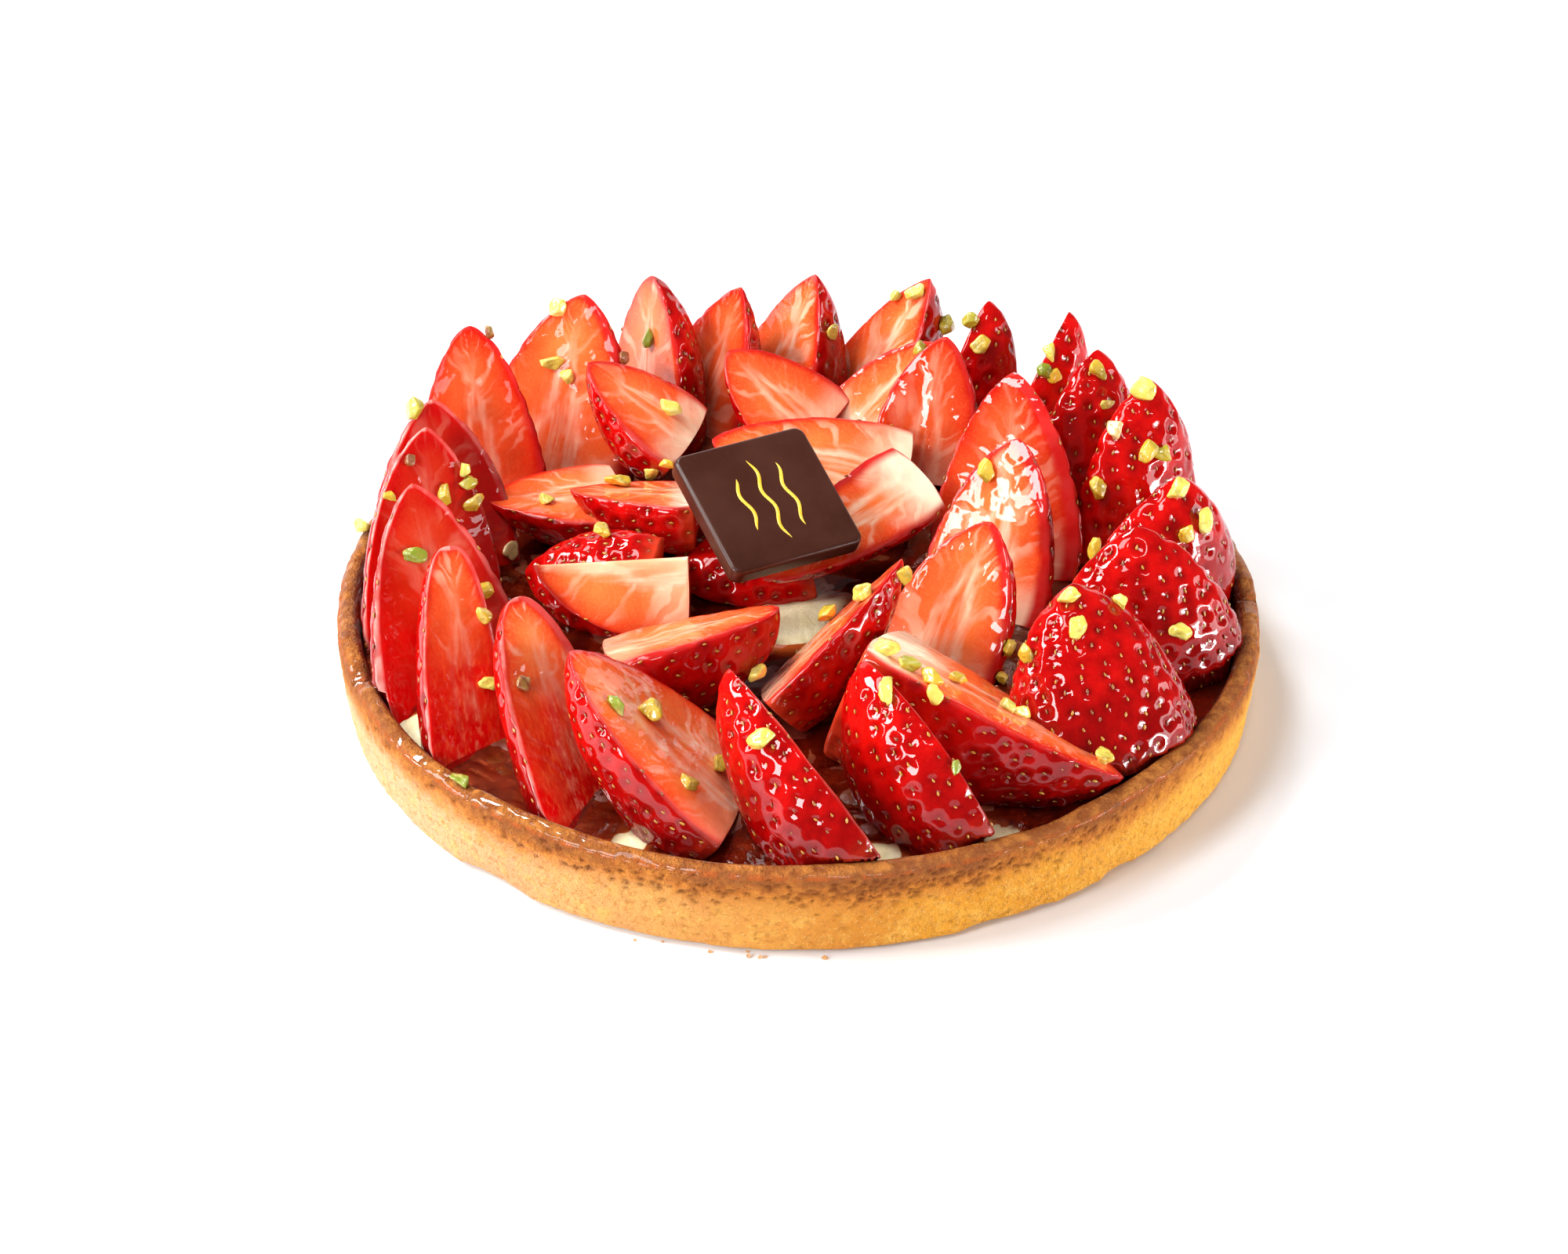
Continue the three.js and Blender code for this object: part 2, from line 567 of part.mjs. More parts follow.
// Berries, each cut back from the plaque, the room's walls and the berries before it in the list
function berryNodes() {
  const room = roomSolid();
  const plaque = plaqueSolid(GAP);
  const nodes = [];
  for (let number = 0; number < BERRIES.length; number++) {
    let solid = berrySolid(number).intersect(room).subtract(plaque);
    for (let other = 0; other < number; other++) {
      solid = solid.subtract(berrySolid(other, GAP));
    }
    nodes.push([BERRIES[number][0], largestBody(solid)]);
  }
  addNibs(nodes, room, plaque);
  return nodes;
}

// Fuses the pistachios to their berries. A piece is cut back from the other berries, and left out
// where too little of it would remain.
function addNibs(nodes, room, plaque) {
  const random = randomFrom(NIB_SEED);
  const placed = [];
  for (const [host, side, share, spot, size] of NIBS) {
    const number = BERRIES.findIndex(([name]) => name === host);
    const whole = nibSolid(...nibPlace(number, side, share, spot), size, random);
    let nib = whole.intersect(room).subtract(plaque);
    for (let other = 0; other < BERRIES.length; other++) {
      nib = other === number ? nib : nib.subtract(berrySolid(other, GAP));
    }
    for (const [carrier, earlier] of placed) {
      nib = carrier === number ? nib : nib.subtract(earlier);
    }
    if (nib.volume() > NIB_KEPT * whole.volume()) {
      nodes[number][1] = largestBody(nodes[number][1].add(nib));
      placed.push([number, whole]);
    }
  }
}

const MATERIALS = {
  crust: new THREE.MeshStandardMaterial({ color: 0xd9a566, roughness: 0.75, metalness: 0 }),
  cream: new THREE.MeshStandardMaterial({ color: 0xd8d0a2, roughness: 0.5, metalness: 0 }),
  berry: new THREE.MeshStandardMaterial({ color: 0xc8201a, roughness: 0.2, metalness: 0 }),
  chocolate: new THREE.MeshStandardMaterial({ color: 0x3a1f18, roughness: 0.35, metalness: 0 }),
};

// Mesh of a solid under its node's name
function meshOf(name, solid, material) {
  const { vertProperties, triVerts } = solid.getMesh();
  const geometry = new THREE.BufferGeometry();
  geometry.setAttribute('position', new THREE.BufferAttribute(vertProperties, 3));
  geometry.setIndex(new THREE.BufferAttribute(triVerts, 1));
  geometry.computeVertexNormals();
  const mesh = new THREE.Mesh(geometry, material.clone());
  mesh.name = name;
  return mesh;
}

const tart = new THREE.Group();
tart.add(meshOf('crust', rimNibs(crustSolid()), MATERIALS.crust));
tart.add(meshOf('cream', creamSolid(), MATERIALS.cream));
for (const [name, solid] of berryNodes()) {
  tart.add(meshOf(name, solid, MATERIALS.berry));
}
tart.add(meshOf('plaque', plaqueSolid(), MATERIALS.chocolate));

export default tart;
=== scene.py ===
"""Looks of a strawberry tart: a baked crust filled with cream, a leaning ring of glazed halved
strawberries with more halves and one wedge inside it, a chocolate square and chopped pistachios.
Lengths in the tables are millimetres and angles are degrees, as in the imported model; meshes are
made in metres."""

import itertools
import math

import bmesh
import bpy
import numpy as np
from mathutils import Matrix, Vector


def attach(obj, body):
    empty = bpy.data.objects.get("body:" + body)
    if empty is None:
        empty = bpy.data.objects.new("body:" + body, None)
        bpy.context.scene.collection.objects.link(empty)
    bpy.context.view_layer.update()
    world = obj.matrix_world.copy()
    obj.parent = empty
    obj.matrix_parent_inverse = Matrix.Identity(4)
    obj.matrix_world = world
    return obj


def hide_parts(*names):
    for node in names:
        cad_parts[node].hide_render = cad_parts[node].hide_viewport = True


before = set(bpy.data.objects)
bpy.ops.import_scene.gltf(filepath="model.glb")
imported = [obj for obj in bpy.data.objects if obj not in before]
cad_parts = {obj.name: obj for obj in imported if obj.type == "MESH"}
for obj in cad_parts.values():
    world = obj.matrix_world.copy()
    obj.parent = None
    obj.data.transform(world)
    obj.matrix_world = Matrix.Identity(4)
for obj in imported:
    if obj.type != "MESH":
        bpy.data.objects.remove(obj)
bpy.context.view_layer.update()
MM = 0.001
X, Y, Z = 0, 1, 2

# Crust, with the same outline, chips and profile as its solid
RIM_RADIUS = 90
CRUST_HEIGHT = 20
WALL = 5
FOOT_INSET = 1.5
FOOT_ROUND_IN = 1.6
FOOT_ROUND_UP = 1.2
SIDE_PROFILE = [(1.2, 4), (0.7, 8.5), (0.25, 13), (0.05, 16.6)]
RIM_OUTSIDE = [(0.5, 1), (1.9, 0)]
RIM_INSIDE = [(1.3, 0.2), (0.25, 1.6)]
OUTLINE_WOBBLE = 0.35
OUTLINE_WAVES = [(4, 2.57), (6, 3.57)]
RIM_WAVE = 0.35
RIM_WAVES = [(5, 0.6), (9, 2.1)]
WALL_WAVE = 0.4
WALL_TURN = 40
RIM_CHIPS = [(199, 3, 1.2), (359, 4, 1.0), (226, 2.5, 0.6), (118, 4, 0.7), (62, 3, 0.6), (301, 5, 0.5)]
FOOT_CHIPS = [(229, 4, 1.3), (233, 3, 0.8), (293, 4, 1.0), (299, 3, 0.7), (312, 3, 0.9), (150, 5, 0.8),
              (40, 4, 1.0)]
CREAM_LEVEL = 16
CREAM_SWELL = 0.7
CREAM_DIP = 2.2
CREAM_EDGE = 16
# Sizes across, along and askew of the cream's soft swells
SWELLS = (9, 11, 14)
UNDER_CREAM = 6

# Where the cream shows pale, without the red glaze and the painted shade on it: distance from the middle,
# angle, reach
BARE_CREAM = [(82, 210, 6.5), (80.5, 296.5, 3.6), (6, 262, 8), (80, 248, 3.5), (79.5, 281, 3)]

# Grids and fills of the cream (rows and columns) and of the glaze that lies on it
CREAM_GRID = (150, 420)
POOL_GRID = (60, 240)
POOL_FILL = 0.55
BARE_DEPTH = 1

# How dense the crust is round its outline and between the corners of its section
CRUST_SEGMENTS = 1200
SECTION_STEPS = [4, 3, 6, 9, 9, 8, 6, 4, 5, 4, 5, 4, 3]
SECTION_ROUNDING = 5
UNDER_EDGE = 25

# Baked holes in its side, and cracks across its rim: angle, width, depth
PITS = 520
PIT_TOP = 17.8
PIT_REACH = 1.6
PIT_STRETCH = 0.6
CRACKS = [(199, 0.35, 0.9), (214, 0.22, 0.5), (227.5, 0.25, 0.5), (359.3, 0.3, 0.9), (301, 0.2, 0.3),
          (118, 0.25, 0.5), (62, 0.22, 0.5), (95, 0.2, 0.4)]

# Where most glaze ran over the rim, from none to all of it, and the angle where the side's colour is
# richest; away from it the side is painted paler, towards the left where the key light falls
GLAZED_MIDDLE = 240
GLAZED_REACH = (100, 50)
RICHEST_SIDE = 325

# Where the glaze stains the fruit and painted shade darkens it, from none to all of it: heights on a cut
# face and on skin, how much a face looks upward, distance from the middle, distance to the back
CUT_STAIN_AND_SHADE = (40, 24)
SKIN_STAIN_AND_SHADE = (40, 14)
LOOKS_UP = (0.69, 0.76)
STAIN_AND_SHADE_RING = (52, 66)
STAIN_AND_SHADE_FRONT = (45, 0)

# Berry outline
TAPER = 2.2
POINTED = 0.72
SHOULDER = 0.06
SHOULDER_LENGTH = 0.2
HULL_BULGE = 0.03
FRUIT_SUNK = 2.5

# Rows along a berry and steps round its skin and across its cut, for the ring and further in
RING_GRID = (100, 88, 44)
INNER_GRID = (84, 66, 44)
EDGE_ROUNDING = 8

# Each berry: name, hull end [distance from the middle, angle, height], tip [the same], direction
# that the cut face looks [angle, elevation], width, depth, how blunt the tip is, then how pale the
# flesh is and how white it is at the hull end
BERRIES = [
    ("rim_01", (69, 155, 12), (82, 143, 50), (266, 14), 27.5, 12, 0.62, 0.3, 0.2),
    ("rim_02", (69, 139, 12), (77, 124, 49), (249, 12), 35, 13, POINTED, 0.6, 0.4),
    ("rim_03", (71, 117, 12), (79, 112, 48), (213, 10), 30, 13, 0.66, 0.75, 0.4),
    ("rim_04", (71, 109, 12), (73, 99, 46), (216, 12), 28, 13, 0.8, 0.4, 0.3),
    ("rim_05", (71, 97, 12), (74, 87, 48), (216, 10), 27, 18, 0.85, 0.9, 0.4),
    ("rim_06", (71, 84, 12), (78, 69.5, 47.5), (213, 12), 24.5, 20, 0.85, 0.95, 0.5),
    ("rim_07", (71, 63, 12), (77, 59.5, 46), (140, 8), 18, 13, 0.55, 0.2, 0.1),
    ("rim_08", (72, 54, 12), (83, 48.3, 46), (160, 10), 24, 13, 0.6, 0.2, 0.1),
    ("rim_09", (66, 33, 12), (75, 37, 47), (122, 10), 30, 13, POINTED, 0.4, 0.3),
    ("rim_10", (70, 19, 12), (77, 26, 47), (112, 12), 30, 10, POINTED, 0.35, 0.3),
    ("rim_11", (67, 1, 12), (73, 2, 44), (112, 30), 38, 13, POINTED, 0.4, 0.3),
    ("rim_12", (68, 345, 12), (65, 348, 43), (97, 33), 38, 13, POINTED, 0.4, 0.3),
    ("rim_13", (73, 321, 12), (60, 327, 43), (105, 30), 38, 14, POINTED, 0.4, 0.3),
    ("rim_14", (44, 291.5, 36), (86, 313, 21), (66, 64), 31, 26, POINTED, 0.55, 1),
    ("rim_15", (72, 294, 12), (56, 282, 41), (40, 22), 34, 15, 0.6, 0.4, 0.3),
    ("rim_16", (74, 279, 12), (60, 258, 42), (35, 28), 33, 15, 0.62, 0.4, 0.3),
    ("rim_17", (64, 260, 17), (69, 233.5, 43.5), (358, 52), 36, 18, POINTED, 0.8, 0.2),
    ("rim_18", (76, 242, 12), (64, 217, 44), (322, 26), 25, 12, 0.45, 0.97, 0.1),
    ("rim_19", (79, 221, 12), (69, 201, 46), (298, 12), 17, 12, 0.36, 0.5, 0),
    ("rim_20", (70, 207, 12), (73, 185, 48), (300, 8), 32, 12, POINTED, 0.1, 0.05),
    ("rim_21", (70, 188, 12), (73, 169, 48), (296, 8), 32, 12, POINTED, 0.05, 0.0),
    ("rim_22", (68, 173, 12), (76, 160, 47), (292, 8), 31, 12, POINTED, 0.03, 0.0),
    ("inner_01", (47, 117, 29), (64, 131, 42), (340, 50), 24, 15, POINTED, 0.55, 0.5),
    ("inner_02", (49, 85, 26), (63, 103, 37), (300, 50), 24, 12, POINTED, 0.5, 0.3),
    ("inner_03", (52, 77, 24), (66, 65, 40), (240, 38), 20, 10, POINTED, 0.95, 0.5),
    ("inner_04", (47, 59, 20), (60, 60, 46), (255, 22), 23, 11, POINTED, 0.3, 0.2),
    ("inner_05", (42, 16, 15), (55, 39, 48), (250, 22), 32, 12, POINTED, 0.27, 0.3),
    ("inner_06", (35, 356, 16), (44, 15, 47), (245, 24), 27, 10, POINTED, 0.85, 0.6),
    ("inner_07", (33, 320, 16), (38, 344, 42), (235, 30), 28, 11, POINTED, 0.6, 0.15),
    ("inner_08", (35, 260, 20), (30, 310, 42), (150, 45), 30, 12, POINTED, 0.4, 0.3),
    ("inner_09", (46, 220, 26), (23, 261, 31), (93, 66), 28, 17, 0.5, 0.75, 0.3),
    ("wedge", (23, 198, 32), (51, 188, 30), (268, 35), 34, 17, POINTED, 1, 0.3),
    ("inner_10", (28, 185, 20), (53, 177, 22), (90, -40), 24, 9, POINTED, 0.4, 0.3),
    ("inner_11", (44, 144, 26), (65, 161, 27), (90, 85), 27, 12, POINTED, 0.65, 0.4),
    ("inner_12", (27, 136, 30), (49, 156, 30), (80, 70), 26, 12, POINTED, 0.55, 1),
    ("inner_13", (14, 95, 20), (25, 169, 19), (90, -70), 28, 8, POINTED, 0.4, 0.3),
    ("top_01", (37, 56, 26), (42, 114, 30), (270, 72), 28.5, 12, POINTED, 0.75, 0.7),
    ("top_02", (31.2, 40.3, 33), (10, 228, 27), (300, 62), 17.5, 12, POINTED, 0.8, 1),
]

# Chopped pistachios on the fruit, by berry: its cut face or its skin, share of the berry's length
# from the hull end, share of the half width (cut) or degrees round the skin, size, colour
NIBS = {
    "inner_01": [("skin", 0.1, 15, 4, "pale"), ("skin", 0.05, 0, 3, "yellow"),
                 ("cut", 0.25, -0.2, 4.5, "pale")],
    "inner_03": [("cut", 0.9, 0.3, 3.5, "olive")],
    "inner_06": [("cut", 0.8, 0.7, 5, "yellow")],
    "inner_07": [("skin", 0.35, 175, 4, "yellow"), ("skin", 0.15, 170, 3.5, "yellow")],
    "inner_08": [("cut", 0.75, -0.5, 5.5, "pale"), ("skin", 0.95, 135, 4, "yellow"),
                 ("cut", 0.5, 0.8, 5, "yellow")],
    "inner_09": [("skin", 0.75, 130, 5.5, "pale")],
    "inner_10": [("skin", 0.45, 30, 4.5, "yellow")],
    "inner_11": [("cut", 0.55, 0.3, 4, "pale")],
    "inner_12": [("cut", 0.65, -0.5, 5, "yellow")],
    "rim_01": [("skin", 0.95, 180, 3.5, "brown")],
    "rim_02": [("cut", 0.9, 0.9, 4.5, "pale"), ("cut", 0.65, 0.3, 4.5, "pale"), ("cut", 0.6, 0, 4, "pale"),
               ("skin", 0.75, 180, 3.5, "brown")],
    "rim_03": [("cut", 0.65, -0.1, 4, "green")],
    "rim_05": [("skin", 0.75, 160, 4, "pale")],
    "rim_06": [("cut", 0.9, 0.1, 5, "pale"), ("cut", 0.8, 0.9, 3, "pale"),
               ("skin", 0.8, 130, 5.5, "olive")],
    "rim_07": [("skin", 0.9, 175, 4.5, "olive"), ("skin", 0.8, 150, 4.5, "yellow")],
    "rim_08": [("skin", 0.8, 175, 3.5, "pale"), ("skin", 0.7, 170, 4, "green"),
               ("skin", 0.7, 160, 4, "yellow")],
    "rim_09": [("skin", 0.9, 120, 4.5, "yellow"), ("skin", 0.75, 105, 3.5, "pale")],
    "rim_10": [("skin", 0.75, 150, 4, "beige"), ("skin", 0.95, 135, 5.5, "pale"),
               ("skin", 0.65, 110, 5, "yellow"), ("skin", 0.65, 90, 4.5, "olive"),
               ("skin", 0.45, 150, 5, "yellow")],
    "rim_11": [("skin", 0.55, 180, 4.5, "yellow"), ("skin", 0.95, 125, 5, "pale"),
               ("skin", 0.75, 100, 4.5, "yellow"), ("skin", 0.8, 75, 5, "pale")],
    "rim_12": [("skin", 0.45, 70, 4.5, "pale")],
    "rim_13": [("skin", 0.95, 115, 4, "pale"), ("skin", 0.8, 100, 4.5, "pale"),
               ("skin", 0.7, 155, 4, "yellow"), ("skin", 0.85, 20, 3.5, "pale")],
    "rim_14": [("cut", 0.05, -0.6, 6, "pale"), ("cut", 0.15, -0.7, 4.5, "olive"),
               ("cut", 0.25, -0.7, 5, "yellow"), ("cut", 0.3, -0.1, 4, "yellow"),
               ("skin", 0.3, 180, 4, "pale"), ("cut", 0.5, 0.1, 4, "pale"), ("cut", 0.55, 0.1, 4, "pale"),
               ("cut", 0.9, 0.3, 5.5, "pale")],
    "rim_15": [("skin", 0.85, 15, 5, "pale"), ("skin", 0.4, 5, 3, "green")],
    "rim_16": [("skin", 0.7, 25, 5, "pale")],
    "rim_17": [("cut", 0.7, 0.4, 4, "green"), ("cut", 0.55, -0.1, 5.5, "yellow"),
               ("cut", 0.15, -0.2, 5, "yellow"), ("cut", 0.25, 0.5, 4, "yellow")],
    "rim_18": [("cut", 0.65, 0.6, 4, "brown")],
    "rim_19": [("cut", 0.7, -0.8, 4, "yellow"), ("cut", 0.4, -0.6, 4, "pale")],
    "rim_20": [("cut", 0.7, 0.3, 4.5, "green"), ("cut", 0.5, -0.7, 4.5, "yellow")],
    "rim_21": [("cut", 0.85, 0.6, 3.5, "brown"), ("cut", 0.8, -0.9, 4, "pale"),
               ("cut", 0.75, -0.9, 4, "olive"), ("cut", 0.65, -0.8, 4.5, "yellow"),
               ("cut", 0.7, -0.3, 4, "yellow"), ("cut", 0.7, 0.8, 3, "yellow")],
    "rim_22": [("skin", 0.95, 0, 5.5, "olive"), ("cut", 0.2, -0.8, 4, "beige")],
}

# Chopped pistachios on the rim: angle, distance in from the outside, size, colour
RIM_NIBS = [(166, 1.6, 5, "pale"), (225, 2.6, 4.6, "green"), (28, 1.4, 4, "green")]
NIB_THICK = 0.62
NIB_BROAD = 0.78
NIB_SUNK = 0.1
PLANE_EVERY = 40
CHOPS = 8
EDGE_SHARPNESS = 24
NIB_SEED = 5
NIB_DRAWS = 25
NIB_COLOURS = {
    "pale": (0.76, 0.66, 0.11),
    "yellow": (0.70, 0.47, 0.03),
    "green": (0.22, 0.29, 0.015),
    "olive": (0.44, 0.38, 0.02),
    "brown": (0.24, 0.07, 0.02),
    "beige": (0.76, 0.50, 0.22),
}

# Chocolate square: middle of its top face, direction that face looks, turn, side and thickness
PLAQUE_CENTRE = (-5.5, 2.5, 39)
PLAQUE_FACES = (305, 65)
PLAQUE_TURN = -6
PLAQUE_SIDE = 28.6
PLAQUE_THICKNESS = 4
PLAQUE_CORNER = 2.2
PLAQUE_BEVEL = 0.9
HOLLOW_RINGS = (1.6, 2.6, 4, 6, 9, 12)
HOLLOW_DEPTH = 0.10

# Gold lines on the chocolate: [distance from the middle, half length], sway, turns and width
WAVE_LINES = [(-4.8, 6), (0, 9.5), (4.8, 7.5)]
WAVE_SWAY = 0.55
WAVE_TURNS = 0.75
WAVE_WIDTH = 0.36
WAVE_STEPS = 110
WAVE_SIDES = 8

# Seeds on the strawberry skin
SEED_PITCH = 3.8
SEED_LENGTH = 1.1
SEED_WIDTH = 0.62
SEEDS_TO = 0.985
DIMPLE_RADIUS = 1.15
DIMPLE_DEPTH = 0.52
DIMPLE_LIP = 0.06
LIP_RADIUS = 1.75
LIP_WIDTH = 0.6

# Painted highlight: a pale line along the edge of a cut face, where the glaze is thick, by berry
EDGE_HIGHLIGHTS = {"rim_18": 0.5, "rim_19": 0.7, "rim_20": 1, "rim_21": 1, "rim_22": 1}
EDGE_HIGHLIGHT_WIDTH = 0.8

# Extra width of the red border on one side of a cut face, by berry
RINDS = {"inner_05": 2.6, "inner_06": 1.8, "inner_07": 1.6, "rim_02": 1.4, "rim_18": 1.5}
THIN_RIND = 0.6

# How thick the glaze on a cut face is, by berry
THIN_GLAZE = {"rim_01": 0.2, "rim_02": 0.5}

# How pale the wedge's flesh is along its inner edge
WEDGE_PALE = 1.35

# Crumbs at the foot of the crust
CRUMBS = 8
CRUMB_ANGLES = (248, 274)
CRUMB_SIZES = (0.25, 0.6)
CRUMB_RADIUS = 87.2

# Softboxes: place and size in metres, watts; all of them look at the same point
LIT_POINT = (0, 0, 0.03)
SOFTBOXES = [
    ("key", (-0.95, 0.1, 0.75), (0.4, 0.4), 14),
    ("overhead", (-0.5, -0.1, 1.25), (0.42, 0.42), 7),
    ("back", (-0.55, 0.8, 1.25), (0.42, 0.2), 8.5),
    ("backdrop", (0, 1.6, 0.42), (2.6, 0.8), 9),
    ("front_top", (0.1, -0.6, 1.3), (0.26, 0.16), 2.2),
    ("front_left", (-0.25, -0.295, 0.2), (0.1, 0.135), 1.0),
    ("left_strip", (-1.07, -0.23, 0.32), (0.12, 0.6), 4),
    ("right", (1.22, -0.3, 0.2), (1.2, 0.36), 9),
    ("front_right", (1.06, -0.56, 0.14), (0.5, 0.15), 9),
]
WORLD_STRENGTH = 0.12
FLOOR_HALF = 4000

# Camera: the place and tilt of the photograph's
CAMERA_PLACE = (-0.00264, -0.63076, 0.44371)
CAMERA_DOWN = 34.46
CAMERA_LENS = 90
SENSOR_WIDTH = 36


# Points, directions and noise

def polar(distance, angle, height):
    turn = np.radians(angle)
    return np.stack(np.broadcast_arrays(distance * np.cos(turn), distance * np.sin(turn), height), -1)


def facing(angle, elevation):
    rise = math.radians(elevation)
    return polar(math.cos(rise), angle, math.sin(rise))


def unit(vectors):
    return vectors / np.linalg.norm(vectors, axis=-1, keepdims=True)


def angle_between(first, second):
    """Turn between two angles, without its sign."""
    return np.abs((first - second + 540) % 360 - 180)


def lattice(cells, seed):
    """Repeatable value from -1 to 1 for each whole-number cell."""
    mixed = cells[..., 0] * 73856093 ^ cells[..., 1] * 19349663 ^ cells[..., 2] * 83492791 ^ seed * 2654435
    mixed = (mixed ^ (mixed >> 13)) * 1274126177 & 0x7FFFFFFF
    mixed = mixed ^ (mixed >> 16)
    return (mixed & 0xFFFF) / 32767.5 - 1


def noise(points, cell, seed):
    """Smooth noise from -1 to 1, with bumps of about the size of a cell in millimetres. Each use
    has a seed of its own."""
    scaled = np.asarray(points, float) / cell + 500
    base = np.floor(scaled).astype(np.int64)
    part = scaled - base
    ease = part ** 3 * (part * (part * 6 - 15) + 10)
    total = 0
    for corner in itertools.product((0, 1), repeat=3):
        weight = np.prod(np.where(corner, ease, 1 - ease), axis=-1)
        total = total + weight * lattice(base + np.array(corner), seed)
    return total


def smooth(value, low, high):
    """Eased step from 0 at low to 1 at high."""
    part = np.clip((value - low) / (high - low), 0, 1)
    return part * part * (3 - 2 * part)


def random_from(seed):
    """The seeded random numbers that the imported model's pistachios were made with."""
    state = seed
    while True:
        state = (state + 0x6D2B79F5) & 0xFFFFFFFF
        mixed = ((state ^ (state >> 15)) * (1 | state)) & 0xFFFFFFFF
        mixed = ((mixed + (((mixed ^ (mixed >> 7)) * (61 | mixed)) & 0xFFFFFFFF)) ^ mixed) & 0xFFFFFFFF
        yield ((mixed ^ (mixed >> 14)) & 0xFFFFFFFF) / 4294967296


# Meshes

def make_mesh(name, points, faces, attributes=None):
    """Smooth mesh from points in millimetres and lists of face corner arrays."""
    mesh = bpy.data.meshes.new(name)
    mesh.vertices.add(len(points))
    mesh.vertices.foreach_set("co", (np.asarray(points) * MM).ravel())
    corners = np.concatenate([group.ravel() for group in faces])
    sizes = np.concatenate([np.full(len(group), group.shape[1]) for group in faces])
    mesh.loops.add(len(corners))
    mesh.loops.foreach_set("vertex_index", corners.astype(np.int32))
    mesh.polygons.add(len(sizes))
    mesh.polygons.foreach_set("loop_start", (np.cumsum(sizes) - sizes).astype(np.int32))
    mesh.polygons.foreach_set("use_smooth", np.ones(len(sizes), bool))
    mesh.update(calc_edges=True)
    mesh.validate()
    for key, values in (attributes or {}).items():
        kind, field = ("FLOAT", "value") if values.ndim == 1 else ("FLOAT_VECTOR", "vector")
        layer = mesh.attributes.new(key, kind, "POINT")
        layer.data.foreach_set(field, values.astype(np.float32).ravel())
    return mesh


def add_object(name, data):
    thing = bpy.data.objects.new(name, data)
    bpy.context.scene.collection.objects.link(thing)
    return thing


def add_piece(mesh, material, replaced=None):
    """Object for a mesh, riding on the tart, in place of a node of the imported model."""
    piece = add_object(mesh.name, mesh)
    mesh.materials.append(material)
    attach(piece, "root")
    if replaced:
        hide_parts(replaced)


def closed_faces(rows, columns, start=0):
    """Faces of a body made of rings of points: quads between the rings, then a fan over each end
    round one of the two points that follow the rings."""
    ring = np.arange(columns) + start
    beside = np.roll(ring, -1)
    steps = np.arange(rows - 1)[:, None] * columns
    quads = np.stack([ring + steps, beside + steps, beside + steps + columns, ring + steps + columns], -1)
    last = (rows - 1) * columns
    middle = np.full(columns, start + rows * columns)
    return [quads.reshape(-1, 4), np.stack([beside, ring, middle], -1),
            np.stack([middle + 1, ring + last, beside + last], -1)]


def with_ends(values, first, last):
    """Values at a body's rings, then those at the two points that close its ends."""
    return np.concatenate([values.reshape(-1, *np.shape(first)), [first, last]])


# Crust and cream outlines

def waves(kinds, angle):
    return sum(np.sin(count * np.radians(angle) + start) for count, start in kinds) / len(kinds)


def outline_radius(angle):
    return RIM_RADIUS - OUTLINE_WOBBLE + OUTLINE_WOBBLE * waves(OUTLINE_WAVES, angle)


def rim_wave(angle):
    return RIM_WAVE * waves(RIM_WAVES, angle)


def chip_depth(chips, angle):
    depth = 0
    for middle, half_width, deepest in chips:
        away = angle_between(angle, middle) / half_width
        depth = depth + deepest * np.clip(1 - away * away, 0, 1)
    return depth


def crest_height(angle):
    return CRUST_HEIGHT - RIM_WAVE + rim_wave(angle) - chip_depth(RIM_CHIPS, angle)


def inner_radius(angle):
    return outline_radius(angle) - WALL - WALL_WAVE * rim_wave(angle + WALL_TURN)


def dip_by_wall(x, y):
    """Share of the cream's dip next to the crust, from 0 in the middle to 1 at the crust."""
    to_wall = inner_radius(np.degrees(np.arctan2(y, x))) - np.hypot(x, y)
    return np.maximum(0, 1 - to_wall / CREAM_EDGE) ** 2


def cream_top(x, y):
    """Height of the cream, which swells softly and dips next to the crust."""
    across, along, askew = SWELLS
    swell = np.sin(x / across + 1) * np.cos(y / along) + np.sin((x + y) / askew + 2)
    return CREAM_LEVEL + CREAM_SWELL / 2 * swell - CREAM_DIP * dip_by_wall(x, y)


# Materials

def operation(kind):
    return lambda first, second=0.0: first.finish.math(kind, first, second)


class Value:
    """What a node gives out. Arithmetic on it adds further nodes."""

    def __init__(self, finish, socket):
        self.finish = finish
        self.socket = socket

    __add__ = operation("ADD")
    __sub__ = operation("SUBTRACT")
    __mul__ = operation("MULTIPLY")
    __truediv__ = operation("DIVIDE")
    __abs__ = operation("ABSOLUTE")
    sign = operation("SIGN")

    def __rsub__(self, first):
        return self.finish.math("SUBTRACT", first, self)

    def clamped(self):
        """Keeps the sum, product or quotient between 0 and 1."""
        self.socket.node.use_clamp = True
        return self

    def step(self, low, high, most=1.0, least=0.0):
        """Eased change from least at low to most at high."""
        return self.finish.add("ShaderNodeMapRange", {"Value": self, "From Min": low, "From Max": high,
                                                      "To Min": least, "To Max": most},
                               interpolation_type="SMOOTHSTEP")

    def blend(self, low, high, first, second):
        """Eased change from the first colour at low to the second at high."""
        return self.finish.mix(self.step(low, high), first, second)


